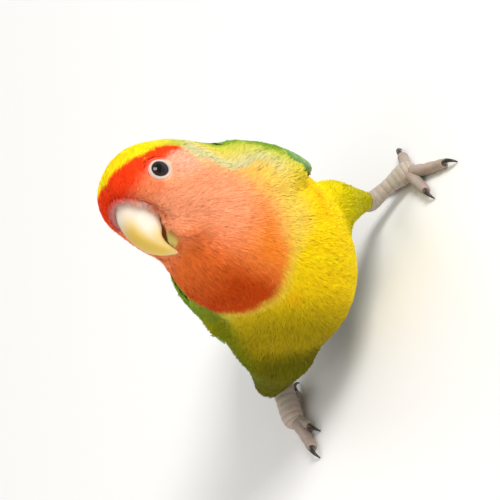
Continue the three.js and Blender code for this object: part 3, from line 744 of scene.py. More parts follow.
def grid_faces(rows, columns, closed=False):
    """Quads over a grid of points numbered row by row."""
    i, j = np.meshgrid(range(rows - 1), range(columns if closed else columns - 1), indexing="ij")
    k = (j + 1) % columns
    quad = np.stack([i * columns + j, i * columns + k, (i + 1) * columns + k, (i + 1) * columns + j], -1)
    return quad.reshape(-1, 4)


def circle(columns):
    """Angles evenly spaced round a ring."""
    return np.arange(columns) / columns * 2 * np.pi


def fan(ring, centre, inward=False):
    faces = np.stack([ring, np.roll(ring, -1), np.full(len(ring), centre)], 1)
    return faces[:, ::-1] if inward else faces


def capped_faces(rows, columns):
    """Faces over rings of points, and fans at both ends to the two points that follow them."""
    ring, after = np.arange(columns), rows * columns
    ends = [fan(ring, after), fan(ring + after - columns, after + 1, inward=True)]
    return [grid_faces(rows, columns, closed=True)[:, ::-1], *ends]


# Skin
def skin():
    points, quads = surface_net(skin_field, *np.array(SKIN_BOX), SKIN_STEP)
    points = settle(skin_field, points, 0)
    corner_owner = np.repeat(owners(points)[quads[:, 0]], 4)
    places, patches = bake_places(points[quads.ravel()], corner_owner)
    wide = patches[:, 2] - patches[:, 0]
    jump = (places[:, 0] - np.repeat(places[::4, 0], 4)) / wide
    places[:, 0] -= np.where(jump > 0.5, wide, 0) - np.where(jump < -0.5, wide, 0)
    nodes = ["torso", "neck", "head", "thigh_left", "thigh_right"]
    tint = markings(points) * SKIN_SHADE
    mesh_object("skin", points, [quads], "feathered_skin", tint, nodes, places)
    return points, quads


# Coat: tufts of thin blades over the skin, each tuft one small patch of the map
BLADE_FACES = np.array([[0, 1, 3], [0, 3, 2], [2, 3, 4]])
# Where a blade's five points lie in its share of the patch, across and along it
BLADE_SPOTS = ((-0.4, -0.5), (0.4, -0.5), (-0.4, 0), (0.4, 0), (0, 0.5))
PALE_FRINGE = rgb(255, 236, 226)


def tufts_object(name, points, tints, places):
    """A piece of blades from lists with one entry a blade point: two at the root, two midway, one tip."""
    start = np.arange(len(points[0]) * len(points) // 5)[:, None, None] * 5
    stacks = (np.stack(rows, 1) for rows in (points, tints, places))
    points, tints, places = (stack.reshape(-1, stack.shape[-1]) for stack in stacks)
    faces = (start + BLADE_FACES).reshape(-1, 3)
    mesh_object(name, points, [faces], "plumage", np.clip(tints, 0, 1), bake=places)


def lie(p, normal):
    """Which way the coat lies at a place on the skin."""
    backward = smooth(from_bill(p), 14, 40)[:, None]
    way = unit(p - BILL_ROOT) * (1 - backward) + unit(TAIL_AIM - p) * backward
    for thigh in THIGHS.values():
        near = smooth(cone(p, thigh), 2, -1.5)[:, None] * 0.9
        way = way * (1 - near) + unit(np.subtract(thigh["to"], thigh["from"])) * near
    for window in EYE_WINDOWS:
        away = p - window
        way = way + 3 * unit(away) * np.exp(-((length_of(away) / 3.4) ** 2))[:, None]
    way = way - normal * dots(way, normal)[:, None]
    return unit(way)


def roots(points, quads, density):
    """Places spread evenly over the skin, at a density given per square millimetre."""
    triangles = np.vstack([quads[:, [0, 1, 2]], quads[:, [0, 2, 3]]])
    a, b, c = (points[triangles[:, k]] for k in range(3))
    area = length_of(np.cross(b - a, c - a)) / 2
    count = DRAW.poisson(area * density(a) * 2)
    pick = np.repeat(np.arange(len(triangles)), count)
    s, t = DRAW.random((2, len(pick)))
    over = s + t > 1
    s, t = np.where(over, 1 - s, s), np.where(over, 1 - t, t)
    p = a[pick] + s[:, None] * (b - a)[pick] + t[:, None] * (c - a)[pick]
    cell = np.floor(p * np.sqrt(density(p))[:, None] * 0.8).astype(int)
    _, first = np.unique(cell, axis=0, return_index=True)
    return p[np.sort(first)]


def coat_density(p):
    return lerp(COAT_DENSITY["face"], COAT_DENSITY["body"], smooth(from_bill(p), 14, 46))


def fringe_density(p):
    return np.full(len(p), FRINGE_DENSITY)


def coat_length(p):
    length = along(COAT_LENGTH, from_bill(p))
    for window in EYE_WINDOWS:
        length = np.minimum(length, along(LENGTH_BY_EYE, length_of(p - window)))
    return length


def wing_span(side, y):
    """The wing's lower and upper angle at a length, closing in a rounded front."""
    front = WING_FRONT["left" if side > 0 else "right"]
    inward = 1 - np.clip((y - front) / WING_ROUNDING, 0.03, 1)
    full = np.sqrt(1 - inward**2)
    low, high = along(WING_LOWER, y), along(WING_UPPER, y)
    middle = (low + high) / 2
    return lerp(middle, low, full), lerp(middle, high, full)


def over_wing(p):
    """How far inside a wing's outline places lie, in mm, and whether body feathers cover the wing there."""
    y = p[:, 1]
    angle = np.degrees(np.arctan2(p[:, 2] - along(WING_AXIS, y), np.abs(p[:, 0])))
    inside, covered = np.full(len(p), -9.0), angle > along(SCAPULAR_EDGE, y)
    for name, side in SIDES.items():
        low, high = wing_span(side, y)
        behind_front = y - WING_FRONT[name]
        mine = (p[:, 0] * side > 0) & (behind_front > -SHOULDER_RAMP)
        across = np.minimum(angle - low, high - angle) * MM_PER_DEGREE
        inside[mine] = np.minimum(across, behind_front)[mine]
        covered |= mine & (behind_front < SHOULDER_COVER)
    return inside, covered


def coat_lift(p):
    """How far the coat stands off the skin, where it lies over a wing or fills out a flank."""
    inside, covered = over_wing(p)
    over = SCAPULAR_LIFT + np.where(p[:, 0] > 0, WING_THICKNESS[1], WING_THICKNESS[-1])
    flank = length_of(p - FLANK_FLUFF["centre"]) / FLANK_FLUFF["radius"]
    return over * covered * smooth(inside, -SHOULDER_RAMP, 1.5) + FLANK_FLUFF["lift"] * np.exp(-(flank**2))


def grow(name, root):
    """One piece of the coat: a fan of blades from each root, rising a little towards its tip."""
    count = len(root)
    normal = outward(skin_field, root)
    way = lie(root, normal)
    side = np.cross(normal, way)
    swirl = np.radians(DRAW.normal(0, TUFT["swirl"], count) + TUFT["swirl"] * ripple(root, 1.6, 5))[:, None]
    way = way * np.cos(swirl) + side * np.sin(swirl)
    length = (coat_length(root) * DRAW.uniform(*TUFT["length"], count))[:, None]
    rise = length[:, 0] * DRAW.uniform(*TUFT["rise"], count)
    shade = markings(root) * (1 + DRAW.normal(0, 0.045, (count, 1)) + 0.05 * ripple(root, 0.9, 8)[:, None])
    bake, _ = bake_places(root, owners(root))
    lifts = [coat_lift(root + way * length * part) for part in (0, 0.5, 1)]
    root = root + normal * lifts[0][:, None]
    middle_level = np.maximum(lifts[0], lifts[1]) + rise * TUFT["middle_rise"]
    middle = settle(skin_field, root + way * length * 0.5, middle_level)
    normal_middle = outward(skin_field, middle)
    way_middle = unit(way - normal_middle * dots(way, normal_middle)[:, None])
    tip = settle(skin_field, middle + way_middle * length * 0.5, np.maximum(lifts[1], lifts[2]) + rise)
    base = root - normal * TUFT["root_depth"]
    side, side_middle = np.cross(normal, way), np.cross(normal_middle, way_middle)
    width = along(BLADE_WIDTH, length[:, 0])[:, None]
    points, tints, places = [], [], []
    for k in range(BLADES):
        j = (k + 0.5) / BLADES * 2 - 1
        lean = np.tan(np.radians(TUFT["fan"] * j + DRAW.normal(0, TUFT["fan_spread"], count)))[:, None]
        reach = (1 - TUFT["outer_shorter"] * j * j + DRAW.normal(0, 0.07, count))[:, None]
        roll = DRAW.normal(0, TUFT["roll"], count)[:, None]
        flat = side * np.cos(roll) + normal * np.sin(roll)
        flat_middle = side_middle * np.cos(roll) + normal_middle * np.sin(roll)
        start = base + side * width * j * 1.4
        mid = base + (middle - base) * reach + side_middle * lean * length * 0.5
        end = mid + (tip - middle) * reach + side_middle * lean * length * 0.62
        points += [start - flat * width * 0.3, start + flat * width * 0.3]
        points += [mid - flat_middle * width * 0.5, mid + flat_middle * width * 0.5, end]
        blade = shade * (1 + DRAW.normal(0, 0.05, (count, 1)))
        # Painted shade at each blade's root and painted light at its tip
        tints += [blade * TUFT["root_painted_shade"]] * 2 + [blade] * 2 + [np.minimum(blade * TUFT["tip_painted_light"], 1)]
        for across, up in BLADE_SPOTS:
            places.append(bake + np.array([(j + across / BLADES) * 0.5, up]) * PATCH)
    tufts_object(name, points, tints, places)


def kept_roots(root):
    """The roots that are clear of the horn and the eyes, and not hidden under a wing or the tail."""
    nearest_eye = np.min([length_of(root - window) for window in EYE_WINDOWS], axis=0)
    q = in_head(root)
    recess = ellipsoid(q, BILL_RECESS)
    under_bill = (recess < 0.4) & (np.abs(q[:, 2]) < 5.2) & ((q[:, 1] > -11.5) | (q[:, 0] > 4))
    close = np.flatnonzero((recess < 1.5) & ~under_bill)
    horn = np.vstack([sheath_shell(**sheath)[0] for sheath in (UPPER_SHEATH, LOWER_SHEATH)])
    clearance = np.full(len(q), 9.0)
    for part in np.array_split(close, max(len(close) // 500, 1)):
        clearance[part] = length_of(root[part][:, None] - horn[None]).min(1)
    inside, covered = over_wing(root)
    hidden = (inside > 2) & ~covered & (root[:, 1] < WING_CORE_BACK - 4)
    keep = (nearest_eye > EYE_CLEARANCE) & ~under_bill & (clearance > HORN_CLEARANCE)
    return root[keep & ~hidden & (root[:, 1] < TAIL_CUT_Y)]


def coat(points, quads):
    root = kept_roots(roots(points, quads, coat_density))
    share, turn = spine_place(root)
    owner = owners(root)
    section = np.digitize(share, list(COAT_SECTIONS.values())[:-1])
    for k, name in enumerate(COAT_SECTIONS):
        for side_name, mine in (("right", turn < 0.5), ("left", turn >= 0.5)):
            grow(f"coat_{name}_{side_name}", root[(section == k) & mine & (owner == "body")])
    for name in THIGHS:
        grow(f"coat_thigh_{name}", root[owner == name])


def fringe(name, base, aim, stand, lengths, pale):
    """Short feathers round the bill that lean over its base, from the skin's places in base."""
    count = len(base)
    normal = outward(skin_field, base)
    way = unit(unit(aim - base) + stand * normal + DRAW.normal(0, 0.16, (count, 3)))
    side = unit(np.cross(way, normal))
    length = DRAW.uniform(*lengths, count)[:, None]
    shade = lerp(markings(base), PALE_FRINGE, pale[:, None] * DRAW.uniform(0.5, 1, (count, 1)))
    bake, _ = bake_places(base, np.full(count, "body", dtype=object))
    points, tints, places = [], [], []
    for k in range(FRINGE_BLADES):
        lean = side * (k - 1) * 0.3 + DRAW.normal(0, 0.1, (count, 3))
        middle = base + (way + lean) * length * 0.5 + normal * 0.12
        tip = base + (way + lean * 1.4) * length
        for at, half in ((base - normal * 0.1, 0.05), (middle, 0.06)):
            points += [at - side * half, at + side * half]
        points.append(tip)
        # The root and middle points are a little darker than the tip, as painted shade
        tints += [shade * 0.92] * 4 + [shade]
        places += [bake + np.array([k * 0.2, j * 0.2]) * PATCH for j in range(5)]
    tufts_object(name, points, tints, places)


def bill_fringes(points, quads):
    base = roots(points, quads, fringe_density)
    q = in_head(base)
    bill, crown, cheek = q.T
    recess = ellipsoid(q, BILL_RECESS)
    narrow = np.abs(cheek) < FRINGE_HALF_WIDTH
    above = narrow & (recess > 0) & (recess < 1.5) & (crown > -5.5) & (bill > 0)
    pale = smooth(crown, -6, -3) * smooth(recess, 1.6, 0.5)
    fringe("coat_bristles", base[above], head_point(9, -8, 0), 0.6, (0.9, 2.2), pale[above])
    at_gape = narrow & (recess > -0.5) & (recess < 0.9) & (crown > -11.8) & (crown < -3.5)
    for name, side in SIDES.items():
        beside = at_gape & (cheek * side > 3.4)
        aim = head_point(5.5, -9.5, 2.5 * side)
        fringe("coat_gape_" + name, base[beside], aim, 0.35, (0.9, 1.8), np.zeros(beside.sum()))


# Bill
IVORY = rgb(240, 226, 208)
GOLD = rgb(226, 190, 78)
PALE_TIP = rgb(222, 200, 130)
# The lower bill's horn colour, darkened as painted shade under the upper bill
LOWER_HORN_WITH_PAINTED_SHADE = rgb(206, 186, 96)
# Dark brown standing in for the shade inside the nostril's opening
NOSTRIL_PAINTED_SHADE = rgb(120, 84, 74)


def sheath_shell(ridge, edge, half_widths, rows, columns, floor_rise, thickness):
    """A horn sheath: an arch from edge to edge over the ridge, and its hollow underside."""
    top, bottom, width = curve(ridge, rows), curve(edge, rows), curve(half_widths, rows)[:, 0]
    a = np.linspace(-np.pi / 2, np.pi / 2, columns)
    arch = []
    for share, inset in ((1, 0), (floor_rise, thickness)):
        rise = np.maximum(np.cos(a), 0) ** 0.8 * share
        spread = np.sign(a) * np.abs(np.sin(a)) ** 0.92
        profile = bottom[:, None] + (top - bottom)[:, None] * rise[None, :, None]
        cheek = spread[None] * np.maximum(width - inset, 0.12)[:, None]
        arch.append(np.concatenate([profile, cheek[..., None]], -1))
    local = np.concatenate([arch[0], arch[1][:, ::-1]], 1).reshape(-1, 3)
    points = EYE_MID + local @ HEAD_AXES
    faces = [grid_faces(rows, columns * 2, closed=True)]
    for row in (0, rows - 1):
        ring = np.arange(columns * 2) + row * columns * 2
        points = np.vstack([points, points[ring].mean(0)])
        faces.append(fan(ring, len(points) - 1, inward=row > 0))
    return points, faces, np.vstack([local, np.zeros((2, 3))])


def ball(centre, radius, rows, columns, pole):
    """Points and faces of a ball whose first pole looks along pole, and each point's angle from it."""
    across = unit(np.cross(pole, (0.3, 0.5, 0.81)))
    over = np.cross(pole, across)
    a = np.linspace(0, np.pi, rows + 2)[1:-1]
    b = circle(columns)
    ring = np.cos(b)[:, None] * across + np.sin(b)[:, None] * over
    points = np.cos(a)[:, None, None] * pole + np.sin(a)[:, None, None] * ring[None]
    points = np.vstack([points.reshape(-1, 3), [pole], [-np.array(pole)]])
    angle = np.concatenate([np.repeat(a, columns), [0, np.pi]])
    return centre + points * radius, capped_faces(rows, columns), angle


def bill_tint(local):
    """Ivory at the base and sides, gold along the ridge and towards the tip."""
    crown = local[:, 1]
    line = curve(CULMEN, 60)
    to_ridge = np.min(length_of(local[:, None, :2] - line[None]), axis=1)
    golden = smooth(to_ridge + 0.25 * np.abs(local[:, 2]), 3.2, 0.6) * smooth(crown, 0, -6)
    golden = np.maximum(golden, smooth(smooth(crown, 1, -14), 0.55, 0.95) * 0.75)[:, None]
    return lerp(lerp(IVORY, GOLD, golden), PALE_TIP, smooth(crown, -13.5, -15.5)[:, None])


def bill():
    points, faces, local = sheath_shell(**UPPER_SHEATH)
    mesh_object("bill_upper_horn", points, faces, "bill_horn", bill_tint(local), ["bill_upper"])
    points, faces, _ = sheath_shell(**LOWER_SHEATH)
    # The lower bill, in horn colour darkened as painted shade
    mesh_object("bill_lower_horn", points, faces, "bill_horn", LOWER_HORN_WITH_PAINTED_SHADE, ["bill_lower"])
    for name, side in SIDES.items():
        centre = head_point(*NOSTRIL[:2], side * NOSTRIL[2])
        points, faces, _ = ball(centre, NOSTRIL_RADIUS, 10, 20, TO_CROWN)
        # Each nostril is a small ball painted dark as the shade in its opening
        mesh_object("nostril_" + name, points, faces, "bill_horn", NOSTRIL_PAINTED_SHADE)


# Eyes and lids
PUPIL = rgb(6, 5, 6)
IRIS = rgb(46, 28, 22)
EYE_SIDE = rgb(20, 14, 14)
LID_RIM = rgb(204, 188, 176)
LID_INNER = rgb(66, 58, 64)


def bare_face(p):
    """The face below its short coat."""
    return body_field(p) + COAT_DEPTH["face"]


def lid(name, side):
    """The bare ring round an eye: from under the coat over a beaded crest down to the eyeball."""
    rows, columns = 22, 96
    turn = circle(columns)
    share = np.linspace(0, 1, rows)
    wide, tall = (lerp(opening + LID_FLANGE, opening - 0.1, share) for opening in EYE_OPENING)
    crest = LID_CREST * np.sin(np.pi * np.clip(share * 1.9 - 0.9, 0, 1)) ** 0.8
    wave = np.cos(turn * 26) + 0.6 * np.cos(turn * 41 + 1)
    beads = LID_BEAD * smooth(share, 0.5, 0.8)[:, None] * wave
    bill, crown = wide[:, None] * np.cos(turn)[None], tall[:, None] * np.sin(turn)[None]
    on_ball = np.sqrt(EYE_RADIUS**2 - bill**2 - crown**2) + EYE_PLACE[2]
    bill, crown = bill + EYE_PLACE[0], crown + EYE_PLACE[1]
    mid_plane = EYE_MID + np.stack([bill.ravel(), crown.ravel(), 0 * bill.ravel()], -1) @ HEAD_AXES
    skin_level, _ = narrow_down(bare_face, mid_plane, side * TO_CHEEK, *FACE_LEVELS, 16)
    skin_level = skin_level.reshape(bill.shape)
    level = lerp(skin_level - 0.1, on_ball - 0.05, smooth(share, 0.5, 1)[:, None]) + crest[:, None] + beads
    front = np.stack([bill, crown, side * level], -1).reshape(-1, 3)
    back = np.stack([bill[::-1], crown[::-1], side * (level[::-1] - LID_THICKNESS)], -1).reshape(-1, 3)
    points = EYE_MID + np.vstack([front, back]) @ HEAD_AXES
    loop = np.arange(columns)
    last = (rows * 2 - 1) * columns
    seam = np.stack([last + loop, last + np.roll(loop, -1), np.roll(loop, -1), loop], 1)
    faces = np.vstack([grid_faces(rows * 2, columns, closed=True), seam])
    faces = faces if side < 0 else faces[:, ::-1]
    shade = np.repeat(lerp(LID_RIM, LID_INNER, smooth(share, 0.84, 0.94)[:, None]), columns, 0)
    under_coat = np.repeat(smooth(share, 0.6, 0.5)[:, None], columns, 0)
    tint = lerp(shade, markings(points[: rows * columns]), under_coat)
    tint = np.vstack([tint, tint.reshape(rows, columns, 3)[::-1].reshape(-1, 3)])
    mesh_object("lid_" + name, points, [faces], "lid_skin", tint)


def eyes():
    for name, side in SIDES.items():
        points, faces, angle = ball(EYES[name], EYE_RADIUS, 40, 64, side * TO_CHEEK)
        tint = lerp(PUPIL, IRIS, smooth(angle, *IRIS_ANGLES)[:, None])
        tint = lerp(tint, EYE_SIDE, smooth(angle, *SIDE_ANGLES)[:, None])
        mesh_object(f"eyeball_{name}", points, faces, "eye", tint, ["eye_" + name])
        lid(name, side)


# Legs
SHANK_SKIN = {
    "columns": 24, "depth": 0.24, "mottle": 0.35, "scale": 1.5, "seed": 12,
    "colours": (rgb(184, 173, 156), rgb(192, 168, 154)),
}
TOE_SKIN = {
    "columns": 20, "depth": 0.2, "mottle": 0.4, "scale": 1.2, "seed": 13,
    "colours": (rgb(168, 156, 142), rgb(182, 154, 142)),
}
CLAW_COLOURS = (rgb(70, 52, 42), rgb(34, 26, 22))


def tube(line, radii, columns):
    """A closed tube along a line, pressed flat where it meets the floor."""
    way = unit(np.gradient(line, axis=0))
    across = unit(np.cross(way, (0, 0, 1)))
    over = np.cross(across, way)
    a = circle(columns)
    ring = np.cos(a)[None, :, None] * across[:, None] + np.sin(a)[None, :, None] * over[:, None]
    radii = radii if radii.ndim == 2 else np.repeat(radii[:, None], columns, 1)
    points = (line[:, None] + ring * radii[..., None]).reshape(-1, 3)
    points = np.vstack([points, line[0], line[-1]])
    points[:, 2] = np.maximum(points[:, 2], 0)
    return points, capped_faces(len(line), columns)


def scutes(share, bands, columns, depth):
    """Raised cross bands, strongest on the top of a toe or shank."""
    top = 0.35 + 0.65 * np.clip(np.sin(circle(columns)), 0, 1)
    band = np.abs(np.sin(share * bands * np.pi)) ** 0.5
    return depth * (band - 0.6)[:, None] * top[None]


def scale_lines(share, bands, columns):
    """Darker lines where the scutes meet, for each point of a tube and its two ends."""
    band = np.abs(np.sin(share * bands * np.pi))
    shade = lerp(0.7, 1.0, smooth(band, 0.05, 0.5))
    return np.concatenate([np.repeat(shade, columns), shade[[0, -1]]])[:, None]


def scaled_skin(name, node, line, radii, bands, columns, depth, mottle, scale, seed, colours):
    """A shank's or toe's tube with raised scutes, in mottled tones with darker lines between them."""
    share = np.linspace(0, 1, len(line))
    points, faces = tube(line, radii[:, None] + scutes(share, bands, columns, depth), columns)
    tone = lerp(*colours, (mottle + mottle * ripple(points, scale, seed))[:, None])
    tone = tone * scale_lines(share, bands, columns)
    mesh_object(name, points, faces, "scaly_skin", tone, [node])


def leg(name, bones):
    ankle, palm = np.array(bones["ankle"], float), np.array(bones["palm"], float)
    shank, thigh = bones["shank"], THIGHS[name]
    rows = 72
    start = lerp(np.array(thigh["to"], float), np.array(thigh["from"], float), 0.1)
    palm_end = palm + unit(palm - ankle) * 2.2 - (0, 0, 0.9)
    line = curve([start, ankle, (ankle + palm) / 2 + (0, 0, 0.2), palm, palm_end], rows)
    radii = curve([shank + ANKLE_SWELL, shank + ANKLE_SWELL, shank, PALM_RADIUS - 0.2, 1.3], rows)[:, 0]
    scaled_skin(f"shank_{name}", "tarsus_" + name, line, radii, SHANK_BANDS, **SHANK_SKIN)
    for number, tip in bones["toes"].items():
        toe(name, number, palm, np.array([*tip, TOE_END_HEIGHT]))


def toe(name, number, palm, tip):
    way = unit((tip - palm) * (1, 1, 0))
    end = tip - way * CLAW_LENGTH
    knuckle = lerp(palm, end, 0.45)
    knuckle[2] = KNUCKLE_HEIGHT
    rows = 60
    share = np.linspace(0, 1, rows)
    arch = lerp(palm, knuckle, 0.55) * (1, 1, 0) + (0, 0, TOE_ARCH_HEIGHT)
    start = palm + way * 0.4 + (0, 0, -0.4)
    line = curve([start, arch, knuckle, lerp(knuckle, end, 0.6), end + way * 0.3], rows)
    pads = TOE_PAD * np.abs(np.sin(share * TOE_BONES[number] * np.pi)) ** 0.7
    radii = (lerp(*TOE_RADII, share) + pads - 0.08) * np.clip((1.04 - share) * 12, 0.3, 1) ** 0.5
    node, bands = f"toe_{number}_{name}", BANDS_PER_BONE * TOE_BONES[number]
    scaled_skin(node + "_skin", node, line, radii, bands, **TOE_SKIN)
    claw(f"claw_{number}_{name}", end, tip, way)


def claw(node, root, tip, way):
    rows = 26
    path = [root - way * 0.5]
    path += [root + way * CLAW_LENGTH * share + (0, 0, rise) for share, rise in ((0.4, 0.8), (0.8, 0.1))]
    line = curve(path + [tip + (0, 0, -0.95)], rows)
    line[:, 2] = np.maximum(line[:, 2], CLAW_FLOOR)
    points, faces = tube(line, lerp(*CLAW_RADII, np.linspace(0, 1, rows) ** 0.8), 16)
    tone = lerp(*CLAW_COLOURS, smooth(length_of(points - root), 0, 4)[:, None])
    mesh_object(node + "_horn", points, faces, "claw_horn", tone, [node])


# Wings and tail: closed thin vanes in tiers, each with a cell of the OFBake map
GREEN = rgb(84, 140, 14)
GREEN_EDGE = rgb(150, 184, 30)
DEEP_GREEN = rgb(40, 96, 16)
PRIMARY_EDGE = rgb(70, 110, 40)
QUILL = rgb(44, 40, 30)
BLACKISH = rgb(34, 34, 30)
TURQUOISE = rgb(30, 130, 170)
TURQUOISE_EDGE = rgb(60, 150, 110)
UNDER_TAIL = rgb(150, 160, 20)
UNDER_TAIL_EDGE = rgb(190, 186, 40)
TAIL_YELLOW = rgb(214, 190, 30)
TAIL_RED = rgb(214, 60, 22)
SHEET_CELL = {"width": 0.42, "length": 0.9, "underside": 0.46, "margin": 0.04}


def vane_grid(rows, columns):
    """Share along a vane and place across it, from -1 to 1, for each point of its grid."""
    return np.meshgrid(np.linspace(0, 1, rows), np.linspace(-1, 1, columns), indexing="ij")


def vane_outline(share, tip_sharpness):
    """Half width of a vane as a share of its greatest, along its length."""
    body = np.interp(share, (0, 0.12, 0.45, 0.8), (0.5, 0.75, 1, 1))
    end = np.clip((1 - share) / (1 - 0.72), 0, 1)
    return body * np.sqrt(np.clip(1 - (1 - end) ** tip_sharpness, 0, 1)).clip(0.03)


def shaft(over, height=SHAFT_HEIGHT):
    return height * np.exp(-((over / SHAFT_WIDTH) ** 2))


def closed_sheet(top, bottom):
    """Points and faces of a thin closed body between two grids."""
    rows, columns = top.shape[:2]
    points = np.vstack([top.reshape(-1, 3), bottom.reshape(-1, 3)])
    upper = grid_faces(rows, columns)
    under = upper[:, ::-1] + rows * columns
    edge = np.concatenate([
        np.arange(columns),
        np.arange(1, rows) * columns + columns - 1,
        (rows - 1) * columns + np.arange(columns - 2, -1, -1),
        np.arange(rows - 2, 0, -1) * columns,
    ])
    following = np.roll(edge, -1)
    rim = np.stack([following, edge, edge + rows * columns, following + rows * columns], 1)
    return points, np.vstack([upper, under, rim])


class Sheets:
    """Collects the vanes of one piece, with their tints and their places in the OFBake map."""

    def __init__(self, across):
        self.points, self.faces, self.tints, self.places = [], [], [], []
        self.across = across

    def add(self, top, bottom, tint):
        number, before = len(self.points), sum(map(len, self.points))
        points, faces = closed_sheet(top, bottom)
        share, over = vane_grid(*top.shape[:2])
        corner = np.array([number % self.across, number // self.across]) / self.across
        along_cell = (over + 1) / 2 * SHEET_CELL["width"], share * SHEET_CELL["length"]
        local = np.stack(along_cell, -1).reshape(-1, 2)
        local = np.vstack([local, local + (SHEET_CELL["underside"], 0)]) + SHEET_CELL["margin"]
        self.points.append(points)
        self.faces.append(faces + before)
        self.tints.append(np.vstack([tint.reshape(-1, 3)] * 2))
        self.places.append(corner + local / self.across)

    def finish(self, name, node):
        points, faces, tints, places = map(np.vstack, (self.points, self.faces, self.tints, self.places))
        tints = np.clip(tints, 0, 1)
        mesh_object(name, points, [faces], "vanes", tints, [node], places)


def wing_surface(side, y, angle, height):
    """Points over the trunk's side at a length, an angle round the wing axis, and a height above it."""
    y, angle, height = np.broadcast_arrays(y, angle, height)
    shape = y.shape
    y, angle, height = (v.ravel().astype(float) for v in (y, angle, height))
    centre = np.stack([0 * y, y, along(WING_AXIS, y)], -1)
    way = np.stack([side * np.cos(np.radians(angle)), 0 * y, np.sin(np.radians(angle))], -1)
    near, far = narrow_down(wing_guide, centre, way, 0.0, WING_REACH, 18)
    return (centre + way * ((near + far) / 2 + height)[:, None]).reshape(*shape, 3)


def with_shaft(colour, share, over, thickness, shade, barbs):
    """A vane's colour with its dark shaft and fine barbs."""
    dark = np.exp(-((over / thickness) ** 2))[..., None] * shade
    return lerp(colour, QUILL, dark) * (1 + 0.06 * np.sin(share * barbs + np.abs(over) * 9)[..., None])


def painted(base, edge, edge_start, shaft_shade, inner=None):
    """How a vane is coloured: its base colour, its edge, a darker shaft, and its hidden inner web."""

    def paint(share, over):
        rim = np.maximum(smooth(np.abs(over), edge_start, 1), smooth(share, 0.86, 1))[..., None]
        colour = lerp(base, edge, rim * 0.8)
        if inner is not None:
            colour = lerp(colour, inner, smooth(over, 0.0, 0.25)[..., None])
        return with_shaft(colour, share, over, 0.09, shaft_shade, 90)

    return paint


def tail_paint(pair):
    """Tail feathers are green, the outer ones red at the root with a dark bar and a blue-green tip."""
    outer = min(pair / 3, 1)

    def paint(share, over):
        colour = lerp(GREEN, DEEP_GREEN, smooth(share, 0.5, 1)[..., None])
        band = lerp(TAIL_YELLOW, TAIL_RED, smooth(share, 0.3, 0.5)[..., None])
        colour = lerp(colour, band, outer * (smooth(share, 0.3, 0.4) * smooth(share, 0.72, 0.66))[..., None])
        bar = (smooth(share, 0.7, 0.74) * smooth(share, 0.86, 0.8))[..., None]
        colour = lerp(colour, BLACKISH, outer * bar)
        colour = lerp(colour, TURQUOISE, outer * 0.6 * smooth(share, 0.86, 0.95)[..., None])
        return with_shaft(colour, share, over, 0.08, 0.4, 110)

    return paint


def facing_out(side, top, bottom):
    """The right wing is a mirror of the left, so its grids run the other way across."""
    return (top, bottom) if side > 0 else (top[:, ::-1], bottom[:, ::-1])


def wing_vane(sheets, side, root, tip, width, lift, sharp, paint, rows, tilt):
    share, over = vane_grid(rows, 7)
    y, angle = lerp(root[0], tip[0], share), lerp(root[1], tip[1], share)
    radius = 20 - 0.12 * np.clip(y - 20, 0, 60)
    run = unit(np.array([tip[0] - root[0], np.radians(tip[1] - root[1]) * 18]))
    half = width / 2 * vane_outline(share, sharp)
    height = lerp(lift[0], lift[1], share) - tilt * over * half * smooth(share, 0.05, 0.45)
    height = height - 0.05 * (over * half) ** 2 + shaft(over)
    height = np.maximum(height, 0.3) + WING_THICKNESS[side] + DRAW.normal(0, 0.02)
    place_y, turned = y - over * half * run[1], angle + np.degrees(over * half * run[0] / radius)
    top = wing_surface(side, place_y, turned, height)
    bottom = wing_surface(side, place_y, turned, height - VANE_THICKNESS)
    tint = paint(share, over * side) * (1 + DRAW.normal(0, 0.05))
    sheets.add(*facing_out(side, top, bottom), tint)


def wing_core(sheets, name, side):
    """The wing's covered base, a thin closed sheet under the vanes, in a darker green as painted shade."""
    front = WING_FRONT[name]
    y = np.linspace(front, WING_CORE_BACK, 40)[:, None]
    share = np.linspace(0, 1, 16)[None]
    angle = lerp(*wing_span(side, y), share)
    rear = np.clip((y - front) / (WING_CORE_BACK - front) * 0.8 + 0.12, 0, 1)
    swell = 0.7 * np.sin(np.pi * rear) * np.sin(np.pi * share) ** 0.6
    top = wing_surface(side, y, angle, 0.7 + WING_THICKNESS[side] + swell)
    bottom = wing_surface(side, y, angle, 0.2)
    # A darker copy of the green, as painted shade under the vanes
    sheets.add(*facing_out(side, top, bottom), np.broadcast_to(GREEN * 0.7, top.shape))


def flight_feathers(sheets, side, row, paint, topmost):
    """Primaries or secondaries, from the lowest up; the last few show whole."""
    roots_line, tips_line = np.array(row["roots"]), row["tips"]
    for i in range(row["count"]):
        s = i / (row["count"] - 1)
        tip_y = lerp(tips_line[0][0], tips_line[1][0], s ** row["bend"]) + DRAW.normal(0, row["spread"])
        tip = (tip_y, lerp(tips_line[0][1], tips_line[1][1], s))
        shown = paint if i < row["half_hidden"] else topmost
        root = lerp(*roots_line, s)
        wing_vane(sheets, side, root, tip, row["width"], row["lift"], row["sharp"], shown, row["rows"], 0.14)


